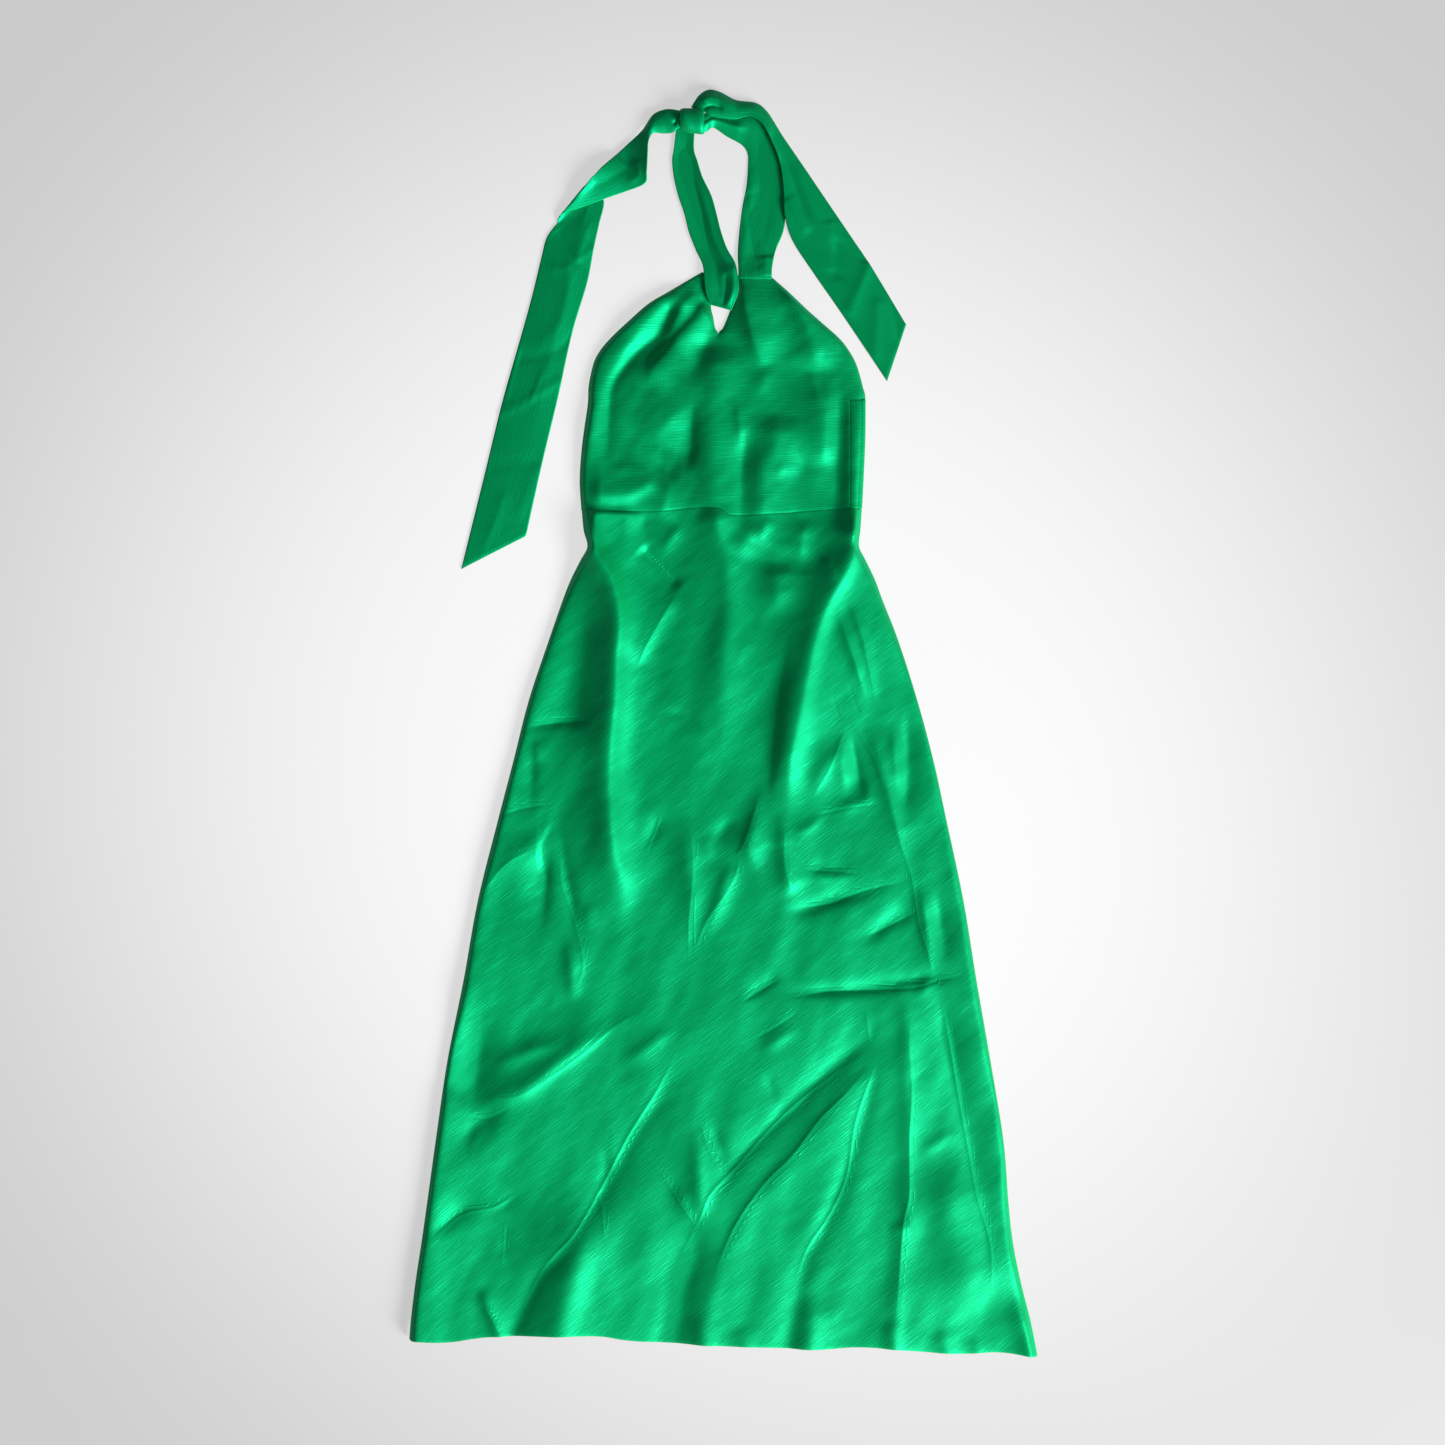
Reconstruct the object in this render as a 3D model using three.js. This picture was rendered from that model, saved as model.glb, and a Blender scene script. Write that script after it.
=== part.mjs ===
// Halter dress laid flat on its back: keyhole bodice, A-line skirt, two neck straps knotted into ties.
// Millimetres. +X is the right of the laid dress, +Y points to its neck, +Z is up.
// The origin is on the surface, under the middle of the dress.

import * as THREE from "three";

// Cloth
const PANEL_CLOTH = 1.4; // wall of a panel
const TIE_CLOTH = 1.8; // wall of a strap or tie, which is sewn double
const SEAM_GAP = 0.3; // between neighbouring pieces
const FRONT_REST = PANEL_CLOTH + SEAM_GAP; // underside of a front panel that lies on the back

// How the front panels lie
const PUFF = 2.4; // how far the front stands off the back between its edges
const EDGE_REACH = 34; // the front comes down to the back over this width along its side seams
const CREST_REACH = 5; // the same for the roll of cloth along the right side
const BACK_TOP = 371; // top edge of the low back
const STEP_START = 3; // above that edge the front starts to come down to the surface
const STEP_END = 16; // and here it has reached it

// The rolled right side of the bodice, where the back shows beside the front
const ROLL_COLUMNS = 3; // columns of faces from the side seam to the roll's turn
const ROLL_INSET = 3; // the roll is as high as the front would be this far in from its edge
const ROLL_ANGLES = [-45, 0, 45, 90]; // where the turn has its rows of points

// Grids
const SKIRT_ROWS = 40;
const SKIRT_ROW_CROWDING = 1.15; // rows stand closer together near the waist
const LOBE_COLUMNS = 16; // on each side of the keyhole, and of the skirt below it
const SIDE_COLUMNS = 2; // of the skirt, past the side seam that lies on the front
const ROWS_PER_SECTION = 2; // of the bodice
const BACK_COLUMNS = 8;
const SKIRT_BACK_ROWS = 14;
const BODICE_BACK_ROWS = 5;
const FOLD_SAMPLES = 20;
const FOLD_FADE = 0.22; // a fold rises and dies away over this share of its length
const RIBBON_COLUMNS = 4;

// Side edges of the skirt, from the waist seam to the hem
const SKIRT_SIDES = [
  { y: 250, left: -163, right: 159 },
  { y: 222, left: -160.5, right: 157 },
  { y: 203, left: -156, right: 155.5 },
  { y: 187, left: -164, right: 163 },
  { y: 164, left: -175.5, right: 174 },
  { y: 141, left: -184.5, right: 182.5 },
  { y: 95, left: -200.5, right: 200.5 },
  { y: 26, left: -223.5, right: 222.5 },
  { y: -43, left: -241, right: 241 },
  { y: -112, left: -259, right: 256 },
  { y: -204, left: -282, right: 275.5 },
  { y: -296, left: -298.5, right: 290.5 },
  { y: -388, left: -317, right: 306.5 },
  { y: -480, left: -330.5, right: 321.5 },
  { y: -549, left: -340, right: 327 },
  { y: -595, left: -346.5, right: 332 },
  { y: -641, left: -353.5, right: 341 },
  { y: -687, left: -359, right: 352.5 },
  { y: -727, left: -361.8, right: 360.5 },
];
const { left: HEM_LEFT, right: HEM_RIGHT } = SKIRT_SIDES.at(-1);

// Side edges of the low back
const BODICE_BACK_SIDES = [
  { y: 371, left: -155, right: 163 },
  { y: 325, left: -161.5, right: 162.5 },
  { y: 279, left: -165, right: 160.5 },
  { y: 240, left: -163, right: 158.5 },
];

const WAIST_SEAM = [
  { x: -166, y: 244 },
  { x: -79, y: 243 },
  { x: -35, y: 247 },
  { x: -4, y: 246 },
  { x: 10, y: 238.5 },
  { x: 63, y: 240.5 },
  { x: 135, y: 246 },
  { x: 166, y: 245 },
];

// Where the waist seam ends on the left, meets the keyhole's line, meets the side seam and ends
const SEAM_LEFT = -163;
const SEAM_MIDDLE = -4;
const SEAM_RIGHT = 145.2;
const SEAM_END = 159;
const ROLL_SEAM = SEAM_RIGHT + SEAM_GAP; // the edge of the back that has come round the right side
const BACK_SEAM = 246.3; // the back's waist seam is straight
const frontSeam = (x) => lookUp(WAIST_SEAM, "x", "y", x);
const backSeam = () => BACK_SEAM;

const HEM = [
  { x: -361, y: -708 },
  { x: -317, y: -710 },
  { x: -262, y: -704 },
  { x: -151, y: -703 },
  { x: -96, y: -710 },
  { x: 42, y: -716.5 },
  { x: 111, y: -719 },
  { x: 166, y: -716.5 },
  { x: 263, y: -723.5 },
  { x: 318, y: -722 },
  { x: 361, y: -727 },
];

// Sections of the bodice front from its neck down. Each lobe runs from its outer edge to the keyhole,
// and below the keyhole the two lobes are one cloth.
const BODICE_SECTIONS = [
  { left: [-37.5, 509.5], innerLeft: [-16, 506], innerRight: [15, 514.5], right: [53.5, 514] },
  { left: [-62.5, 496], innerLeft: [-12.5, 492], innerRight: [17, 500], right: [74, 496] },
  { left: [-86, 482], innerLeft: [-14.4, 478], innerRight: [11.5, 484], right: [96, 475] },
  { left: [-110, 461], innerLeft: [-12, 466], innerRight: [5, 467], right: [114, 459] },
  { left: [-129, 443], innerLeft: [-9.8, 454], innerRight: [-0.6, 454], right: [133, 442] },
  { left: [-141, 429], innerLeft: [-6, 447], innerRight: [-6, 447], right: [144, 428] },
  { left: [-149, 414], innerLeft: [-5, 428], innerRight: [-5, 428], right: [153, 411] },
  { left: [-154.5, 389], innerLeft: [-5, 402], innerRight: [-5, 402], right: [160, 386] },
  { left: [-155.2, 375], innerLeft: [-4, 381], innerRight: [-4, 381], right: [163, 373] },
  { left: [-156, 364], innerLeft: [-4, 368], innerRight: [-4, 368], right: [SEAM_RIGHT, 371.6] },
  { left: [-159.5, 340], innerLeft: [-4, 342], innerRight: [-4, 342], right: [SEAM_RIGHT, 343] },
  { left: [-163, 312], innerLeft: [-4, 314], innerRight: [-4, 314], right: [SEAM_RIGHT, 316] },
  { left: [-165, 278], innerLeft: [-4, 280], innerRight: [-4, 280], right: [SEAM_RIGHT, 280] },
];
const KEYHOLE_FOOT = 447;

// Folds of the front. A fold follows its path, with its cloth lifted by height over width to each side.
// A free fold keeps its lift at the side edges, and an open one keeps it at the path's end.
const FOLDS = [
  // the two long ridges that run down from the waist
  { path: [[-152, 200], [-124, 158], [-121, 95], [-127, 25], [-135, -50], [-128, -170]], width: 22, height: 13 },
  { path: [[146, 400], [146, 330], [147, 240], [143, 180], [112, 112], [90, 32], [71, -55], [66, -130]],
    width: 17, height: 9, free: true },
  // the gathers of the left lobe
  { path: [[-40, 492], [-82, 470], [-116, 418], [-138, 355], [-150, 300]], width: 12, height: 8 },
  { path: [[-24, 478], [-48, 438], [-70, 390]], width: 9, height: 7 },
  // the gathers of the right lobe
  { path: [[26, 502], [60, 460], [80, 428], [74, 392]], width: 18, height: 7 },
  { path: [[52, 500], [96, 452], [132, 404], [127, 318]], width: 11, height: 6 },
  // the lower bodice
  { path: [[-36, 372], [-66, 335], [-86, 308], [-50, 288]], width: 15, height: 4 },
  { path: [[3, 375], [-4, 327], [4, 290], [5, 225]], width: 15, height: 4 },
  { path: [[70, 360], [73, 325], [50, 286]], width: 14, height: 4 },
  { path: [[22, 205], [55, 245]], width: 14, height: 4 },
  { path: [[94, 228], [86, 190]], width: 13, height: 4 },
  // the creased middle of the skirt
  { path: [[-196, -100], [-182, -185], [-163, -275], [-178, -330]], width: 17, height: 5 },
  { path: [[-56, -100], [-34, -165], [-36, -275]], width: 18, height: 4 },
  { path: [[34, -150], [-4, -216], [-44, -262]], width: 17, height: 4 },
  { path: [[152, 120], [168, 10], [189, -68], [214, -180]], width: 16, height: 6 },
  { path: [[214, -181], [190, -228], [150, -266]], width: 15, height: 5 },
  { path: [[20, -318], [110, -309], [215, -294], [275, -266]], width: 15, height: 5 },
  // the long diagonal folds and the waves of the hem
  { path: [[-300, -452], [-233, -430], [-160, -385], [-72, -322]], width: 15, height: 5 },
  { path: [[-30, -360], [-98, -480], [-146, -580], [-166, -706]], width: 19, height: 9, open: true },
  { path: [[-352, -600], [-305, -556], [-225, -533]], width: 16, height: 5 },
  { path: [[-300, -640], [-255, -706]], width: 20, height: 6, open: true },
  { path: [[172, -358], [100, -425], [30, -495], [-30, -600]], width: 16, height: 7 },
  { path: [[22, -505], [-22, -577], [-60, -712]], width: 17, height: 5, open: true },
  { path: [[176, -385], [143, -505], [98, -610], [76, -716]], width: 17, height: 7, open: true },
  { path: [[208, -300], [212, -470], [212, -560], [199, -716]], width: 17, height: 7, open: true },
  { path: [[249, -300], [270, -440], [296, -570], [308, -720]], width: 17, height: 8, open: true },
];

// Straps and ties. A ribbon's section runs from its edge a to its edge b, and bow lifts its middle.
const LEFT_STRAP = [
  { a: [-54, 680.4, 3.4], b: [-33, 676.6, 4.4], bow: -0.6 },
  { a: [-57, 661, 2.4], b: [-34, 660, 3], bow: -0.8 },
  { a: [-59, 647, 2.2], b: [-30, 646, 2.6], bow: -0.9 },
  { a: [-57, 627, 2.4], b: [-24, 627, 2.8], bow: -1.2 },
  { a: [-52, 606, 2.6], b: [-14, 606, 3], bow: -1.5 },
  { a: [-45, 585, 2.6], b: [-8, 585, 3], bow: -1.5 },
  { a: [-40, 565, 2.8], b: [-3, 565, 3.2], bow: -1.5 },
  { a: [-32, 544, 3.2], b: [4, 545, 3.6], bow: -1.5 },
  { a: [-24, 526, 3.4], b: [10.5, 529, 4], bow: -0.8 },
  { a: [-22, 506, 3.2], b: [12, 512, 4.2], bow: 0.6 },
  { a: [-20, 492, 3.2], b: [12, 494, 4], bow: 1 },
  { a: [-14.5, 480, 3.2], b: [6.5, 473.5, 3.2], bow: 0.5 },
];

const RIGHT_STRAP = [
  { a: [-36, 681, 9], b: [-36, 700, 9], bow: 6.6 },
  { a: [-21.5, 678, 8], b: [-21.5, 699, 8], bow: 4.5 },
  { a: [-12, 684, 4], b: [-8, 700, 5], bow: 3 },
  { a: [4, 674, 2.2], b: [13, 696, 3], bow: 2.4 },
  { a: [21, 664.5, 1.4], b: [38, 692, 2], bow: 2.4 },
  { a: [27.5, 655, 0.9], b: [52, 680, 1.2], bow: 1.6 },
  { a: [28, 641, 0.9], b: [61, 661, 0.9], bow: 0.8 },
  { a: [26.5, 618, 0.9], b: [69, 627, 0.9], bow: 0.6 },
  { a: [22, 595, 0.9], b: [71, 597, 0.9], bow: 0.6 },
  { a: [18.5, 568, 0.9], b: [69.5, 568, 0.9], bow: 0.8 },
  { a: [16.5, 542, 0.9], b: [60, 543, 0.9], bow: 0.8 },
  { a: [17, 515, 0.9], b: [53, 514.6, 0.9], bow: 0.5 },
];

const LEFT_TIE = [
  { a: [-36.6, 700, 9], b: [-36.6, 681, 9], bow: 6.6 },
  { a: [-50, 702, 8.5], b: [-50, 683, 8.5], bow: 4.5 },
  { a: [-58, 704, 6], b: [-58, 678, 6], bow: 4 },
  { a: [-68, 704, 5], b: [-68, 677, 5], bow: 4 },
  { a: [-81, 698, 5], b: [-81, 677, 6], bow: 4 },
  { a: [-93, 681, 5], b: [-86, 667, 9], bow: 2 },
  { a: [-112, 664, 5], b: [-87, 652, 12], bow: -1 },
  { a: [-126, 651, 6], b: [-88, 632, 11], bow: -3 },
  { a: [-132, 646, 7], b: [-90, 617, 6], bow: -1 },
  { a: [-140, 637, 10], b: [-111, 611, 5], bow: 0.5 },
  { a: [-147, 629, 11], b: [-134, 603, 4.6], bow: 0.5 },
  { a: [-152, 624, 11], b: [-164, 592, 4.4], bow: 0.5 },
  { a: [-157, 617, 10], b: [-184, 585, 5], bow: 0 },
  { a: [-161, 613, 6], b: [-190, 579, 3.4], bow: 0 },
  { a: [-157, 607, 2], b: [-191, 575, 1.4], bow: 0 },
  { a: [-146, 600, 0.9], b: [-196, 569, 0.9], bow: 0 },
  { a: [-143, 575, 0.9], b: [-204, 556, 0.9], bow: 0.8 },
  { a: [-148, 548, 0.9], b: [-210, 532, 0.9], bow: 1.2 },
  { a: [-157, 505, 0.9], b: [-221, 487, 0.9], bow: 1.4 },
  { a: [-174, 448, 0.9], b: [-236, 433, 0.9], bow: 1.4 },
  { a: [-191, 371, 0.9], b: [-255, 366, 0.9], bow: 1.4 },
  { a: [-209, 296, 0.9], b: [-276, 280, 0.9], bow: 1.2 },
  { a: [-227, 215, 0.9], b: [-301.5, 177, 0.9], bow: 0.8 },
];

const RIGHT_TIE = [
  { a: [-20.8, 704, 12], b: [-37, 706.1, 9.5], bow: 1 },
  { a: [-17, 702, 13], b: [-28, 719.5, 8], bow: 3 },
  { a: [-10, 699.5, 12], b: [-17, 726.5, 6], bow: 4 },
  { a: [0, 698.5, 11], b: [-4, 724, 5], bow: 4 },
  { a: [17, 698, 9.5], b: [14, 715, 5], bow: 4 },
  { a: [33, 703, 8], b: [37, 712, 3], bow: 3 },
  { a: [46, 697, 6.5], b: [49, 703.5, 1.6], bow: 2 },
  { a: [55, 686, 5.5], b: [58, 690.5, 1.2], bow: 1.6 },
  { a: [61, 673, 4.6], b: [67, 676, 1], bow: 1.4 },
  { a: [67, 658, 3.8], b: [78, 660, 0.9], bow: 1 },
  { a: [71.5, 640, 3], b: [91, 641, 0.9], bow: 0.8 },
  { a: [73.5, 612, 2], b: [110, 613, 0.9], bow: 0.8 },
  { a: [73.5, 582, 1.2], b: [131, 582, 0.9], bow: 1 },
  { a: [79, 555, 0.9], b: [148, 557, 0.9], bow: 1.2 },
  { a: [103, 518, 0.9], b: [165, 532, 0.9], bow: 1.6 },
  { a: [137, 469, 0.9], b: [183, 503, 0.9], bow: 1.6 },
  { a: [188, 393, 0.9], b: [210, 458, 0.9], bow: 1 },
];
const STRAP_STEPS = 3; // rows of faces between two sections
const TIE_STEPS = 2;

// The knot is a band of strap wound round the other strap. Its two rims, from left to right:
const KNOT_RIMS = [
  { x: -49.5, y: 693, halfHeight: 11.4 },
  { x: -22.5, y: 688.5, halfHeight: 14.2 },
];
const KNOT_DEPTH = 9.6; // half the knot's height above the surface, at the middle of its wall
const KNOT_BULGE = 0.07; // how much fuller the band is midway between its rims
const KNOT_STEPS_ROUND = 24;
const KNOT_COLUMNS = 6;

const FINISHES = {
  front: { color: 0x0fa35c, roughness: 0.42, metalness: 0 },
  back: { color: 0x0c8f50, roughness: 0.5, metalness: 0 },
  strap: { color: 0x0a8a48, roughness: 0.45, metalness: 0 },
};

function smoothstep(low, high, value) {
  const t = THREE.MathUtils.clamp((value - low) / (high - low), 0, 1);
  return t * t * (3 - 2 * t);
}

// The value of a column of a table at a place along its key column, between its rows
function lookUp(table, key, column, place) {
  const rising = table[1][key] > table[0][key];
  const rows = rising ? table : [...table].reverse();
  let next = rows.findIndex((row) => row[key] >= place);
  if (next === -1) next = rows.length - 1;
  if (next === 0) next = 1;
  const low = rows[next - 1];
  const high = rows[next];
  return THREE.MathUtils.mapLinear(place, low[key], high[key], low[column], high[column]);
}

function makeFold({ path, width, height, free = false, open = false }) {
  const spline = new THREE.SplineCurve(path.map(([x, y]) => new THREE.Vector2(x, y)));
  const line = spline.getPoints(FOLD_SAMPLES);

  function heightAt(x, y) {
    let nearest = Infinity;
    let along = 0;
    for (let i = 0; i < line.length - 1; i += 1) {
      const step = line[i + 1].clone().sub(line[i]);
      const from = new THREE.Vector2(x, y).sub(line[i]);
      const t = THREE.MathUtils.clamp(from.dot(step) / step.lengthSq(), 0, 1);
      const offset = from.addScaledVector(step, -t).length();
      if (offset < nearest) {
        nearest = offset;
        along = (i + t) / (line.length - 1);
      }
    }
    const across = Math.exp(-((nearest / width) ** 2));
    const startFade = smoothstep(0, FOLD_FADE, along);
    const endFade = open ? 1 : smoothstep(0, FOLD_FADE, 1 - along);
    return height * across * startFade * endFade;
  }
  return { heightAt, free };
}

const folds = FOLDS.map(makeFold);

// The underside of the front at a place that lies this far from the panel's nearest side edge
function frontUnderside(x, y, fromEdge) {
  const rest = FRONT_REST * (1 - smoothstep(BACK_TOP + STEP_START, BACK_TOP + STEP_END, y));
  const hold = smoothstep(0, EDGE_REACH, fromEdge);
  const crestHold = smoothstep(0, CREST_REACH, fromEdge);
  let lift = PUFF * hold;
  for (const fold of folds) {
    lift += fold.heightAt(x, y) * (fold.free ? crestHold : hold);
  }
  return rest + lift;
}

// A closed wall between an upper and a lower copy of the same points
function closedWall(upper, lower, quads) {
  const positions = [...upper, ...lower].flatMap((point) => point.toArray());
  const count = upper.length;
  const index = [];
  const edges = new Set();
  for (const quad of quads) {
    const [a, b, c, d] = quad;
    index.push(a, b, c, a, c, d);
    index.push(count + c, count + b, count + a, count + d, count + c, count + a);
    quad.forEach((from, i) => edges.add(`${from} ${quad[(i + 1) % 4]}`));
  }
  for (const edge of edges) {
    const [from, to] = edge.split(" ").map(Number);
    if (!edges.has(`${to} ${from}`)) {
      index.push(from, count + from, count + to, from, count + to, to);
    }
  }
  const geometry = new THREE.BufferGeometry();
  geometry.setAttribute("position", new THREE.Float32BufferAttribute(positions, 3));
  geometry.setIndex(index);
  geometry.computeVertexNormals();
  return geometry;
}

// A panel from rows of plan points, each with the height of its underside; points that meet are joined
function panelWall(grids) {
  const upper = [];
  const lower = [];
  const known = new Map();
  function pointIndex({ x, y, z }) {
    const key = `${x.toFixed(3)} ${y.toFixed(3)}`;
    if (!known.has(key)) {
      known.set(key, upper.length);
      upper.push(new THREE.Vector3(x, y, z + PANEL_CLOTH));
      lower.push(new THREE.Vector3(x, y, z));
    }
    return known.get(key);
  }
  const quads = [];
  for (const rows of grids) {
    for (let i = 0; i < rows.length - 1; i += 1) {
      for (let j = 0; j < rows[i].length - 1; j += 1) {
        const corners = [rows[i][j], rows[i + 1][j], rows[i + 1][j + 1], rows[i][j + 1]];
        quads.push(corners.map(pointIndex));
      }
    }
  }
  return closedWall(upper, lower, quads);
}

// A wall half to each side of its middle surface, given as rows of points; a ring's last row meets its first
function wallAroundMiddle(rows, thickness, ring = false) {
  const count = rows.length;
  const columns = rows[0].length;
  const rowAt = (i) => rows[ring ? (i + count) % count : THREE.MathUtils.clamp(i, 0, count - 1)];
  const upper = [];
  const lower = [];
  for (let i = 0; i < count; i += 1) {
    for (let j = 0; j < columns; j += 1) {
      const along = rowAt(i + 1)[j].clone().sub(rowAt(i - 1)[j]);
      const next = rows[i][Math.min(j + 1, columns - 1)];
      const across = next.clone().sub(rows[i][Math.max(j - 1, 0)]);
      const normal = along.cross(across).normalize();
      upper.push(rows[i][j].clone().addScaledVector(normal, thickness / 2));
      lower.push(rows[i][j].clone().addScaledVector(normal, -thickness / 2));
    }
  }
  const quads = [];
  for (let i = 0; i < (ring ? count : count - 1); i += 1) {
    const here = i * columns;
    const ahead = ((i + 1) % count) * columns;
    for (let j = 0; j < columns - 1; j += 1) {
      quads.push([here + j, ahead + j, ahead + j + 1, here + j + 1]);
    }
  }
  return closedWall(upper, lower, quads);
}

function ribbonGeometry(sections, steps) {
  const edgeA = new THREE.CatmullRomCurve3(sections.map(({ a }) => new THREE.Vector3(...a)));
  const edgeB = new THREE.CatmullRomCurve3(sections.map(({ b }) => new THREE.Vector3(...b)));
  const rows = [];
  const total = (sections.length - 1) * steps;
  for (let i = 0; i <= total; i += 1) {
    const start = edgeA.getPoint(i / total);
    const end = edgeB.getPoint(i / total);
    const section = Math.min(Math.floor(i / steps), sections.length - 2);
    const share = i / steps - section;
    const bow = THREE.MathUtils.lerp(sections[section].bow, sections[section + 1].bow, share);
    const row = [];
    for (let j = 0; j <= RIBBON_COLUMNS; j += 1) {
      const s = j / RIBBON_COLUMNS;
      const point = start.clone().lerp(end, s);
      point.z = Math.max(point.z + bow * 4 * s * (1 - s), TIE_CLOTH / 2);
      row.push(point);
    }
    rows.push(row);
  }
  return wallAroundMiddle(rows, TIE_CLOTH);
}

function evenly(from, to, columns) {
  return Array.from({ length: columns }, (_, j) => THREE.MathUtils.lerp(from, to, j / columns));
}

// The places across the waist seam where both the bodice and the skirt have a column
const SEAM_PLACES = [
  ...evenly(SEAM_LEFT, SEAM_MIDDLE, LOBE_COLUMNS),
  ...evenly(SEAM_MIDDLE, SEAM_RIGHT, LOBE_COLUMNS),
  ...evenly(SEAM_RIGHT, SEAM_END, SIDE_COLUMNS),
  SEAM_END,
];

// Rows of the skirt from the waist seam to the hem, with a column below each place across the seam
function skirtRows(rowCount, places, seamAt, heightAt) {
  const rows = [];
  for (let i = 0; i <= rowCount; i += 1) {
    const down = (i / rowCount) ** SKIRT_ROW_CROWDING;
    const row = [];
    for (const waistX of places) {
      const across = (waistX - SEAM_LEFT) / (SEAM_END - SEAM_LEFT);
      const hemX = THREE.MathUtils.lerp(HEM_LEFT, HEM_RIGHT, across);
      const waistY = seamAt(waistX) - SEAM_GAP;
      const hemY = lookUp(HEM, "x", "y", hemX);
      const y = THREE.MathUtils.lerp(waistY, hemY, down);
      const left = lookUp(SKIRT_SIDES, "y", "left", y);
      const right = lookUp(SKIRT_SIDES, "y", "right", y);
      const x = i === 0 ? waistX : THREE.MathUtils.lerp(left, right, across);
      row.push({ x, y, z: heightAt(x, y, Math.min(x - left, right - x)) });
    }
    rows.push(row);
  }
  return rows;
}

function skirtFront() {
  return panelWall([skirtRows(SKIRT_ROWS, SEAM_PLACES, frontSeam, frontUnderside)]);
}

function skirtBack() {
  const places = [...evenly(SEAM_LEFT, SEAM_END, BACK_COLUMNS), SEAM_END];
  return panelWall([skirtRows(SKIRT_BACK_ROWS, places, backSeam, () => 0)]);
}

// The rows of one lobe, from its outer edge to its inner edge, then down to the waist seam
function lobeRows(outer, inner) {
  const sections = BODICE_SECTIONS.map((section) => ({ from: section[outer], to: section[inner] }));
  const seamFrom = outer === "left" ? SEAM_LEFT : SEAM_RIGHT;
  sections.push({
    from: [seamFrom, frontSeam(seamFrom)],
    to: [SEAM_MIDDLE, frontSeam(SEAM_MIDDLE)],
  });
  const rows = [];
  for (let i = 0; i < sections.length; i += 1) {
    const isLast = i === sections.length - 1;
    for (let k = 0; k < (isLast ? 1 : ROWS_PER_SECTION); k += 1) {
      const share = k / ROWS_PER_SECTION;
      const next = sections[Math.min(i + 1, sections.length - 1)];
      const mix = (end, axis) => THREE.MathUtils.lerp(sections[i][end][axis], next[end][axis], share);
      const row = [];
      for (let j = 0; j <= LOBE_COLUMNS; j += 1) {
        const across = j / LOBE_COLUMNS;
        const x = THREE.MathUtils.lerp(mix("from", 0), mix("to", 0), across);
        const y = isLast
          ? frontSeam(x)
          : THREE.MathUtils.lerp(mix("from", 1), mix("to", 1), across);
        const rolled = outer === "right" && y < BACK_TOP + 1;
        const fromSide = rolled ? EDGE_REACH : Math.abs(x - mix("from", 0));
        const fromKeyhole = Math.hypot(x - mix("to", 0), Math.max(KEYHOLE_FOOT - y, 0));
        row.push({ x, y, z: frontUnderside(x, y, Math.min(fromSide, fromKeyhole)) });
      }
      rows.push(row);
    }
  }
  return rows;
}

function bodiceFront() {
  const leftLobe = lobeRows("left", "innerLeft");
  const rightLobe = lobeRows("right", "innerRight").map((row) => row.reverse());
  return panelWall([leftLobe, rightLobe]);
}

// The low back lies flat, turns up round the right side and ends on top, at the side seam
function bodiceBack() {
  const middle = PANEL_CLOTH / 2;
  const rows = [];
  for (let i = 0; i <= BODICE_BACK_ROWS; i += 1) {
    const down = i / BODICE_BACK_ROWS;
    const sideY = THREE.MathUtils.lerp(BACK_TOP, BACK_SEAM, down);
    const left = lookUp(BODICE_BACK_SIDES, "y", "left", sideY);
    const right = lookUp(BODICE_BACK_SIDES, "y", "right", sideY);
    const topAt = (x) => frontUnderside(x, sideY, EDGE_REACH) + middle;
    const radius = (topAt(right - ROLL_INSET) - middle) / 2;
    const turnX = right - middle - radius;
    const row = [];
    for (let j = 0; j <= BACK_COLUMNS; j += 1) {
      const x = THREE.MathUtils.lerp(left, turnX, j / BACK_COLUMNS);
      row.push(new THREE.Vector3(x, sideY, middle));
    }
    for (const degrees of ROLL_ANGLES) {
      const angle = THREE.MathUtils.degToRad(degrees);
      const x = turnX + radius * Math.cos(angle);
      row.push(new THREE.Vector3(x, sideY, middle + radius + radius * Math.sin(angle)));
    }
    for (let j = 1; j <= ROLL_COLUMNS; j += 1) {
      const x = THREE.MathUtils.lerp(turnX, ROLL_SEAM, j / ROLL_COLUMNS);
      row.push(new THREE.Vector3(x, sideY, topAt(x)));
    }
    rows.push(row);
  }
  return wallAroundMiddle(rows, PANEL_CLOTH);
}

function knotBand() {
  const rows = [];
  const [leftRim, rightRim] = KNOT_RIMS;
  for (let i = 0; i < KNOT_STEPS_ROUND; i += 1) {
    const angle = (2 * Math.PI * i) / KNOT_STEPS_ROUND;
    const row = [];
    for (let j = 0; j <= KNOT_COLUMNS; j += 1) {
      const s = j / KNOT_COLUMNS;
      const bulge = 1 + KNOT_BULGE * 4 * s * (1 - s);
      const halfHeight = THREE.MathUtils.lerp(leftRim.halfHeight, rightRim.halfHeight, s) * bulge;
      const depth = (KNOT_DEPTH - TIE_CLOTH / 2) * bulge / (1 + KNOT_BULGE);
      const x = THREE.MathUtils.lerp(leftRim.x, rightRim.x, s);
      const y = THREE.MathUtils.lerp(leftRim.y, rightRim.y, s) + halfHeight * Math.cos(angle);
      row.push(new THREE.Vector3(x, y, KNOT_DEPTH + depth * Math.sin(angle)));
    }
    rows.push(row);
  }
  return wallAroundMiddle(rows, TIE_CLOTH, true);
}

function piece(name, geometry, finish) {
  const mesh = new THREE.Mesh(geometry, new THREE.MeshStandardMaterial(FINISHES[finish]));
  mesh.name = name;
  return mesh;
}

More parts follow.
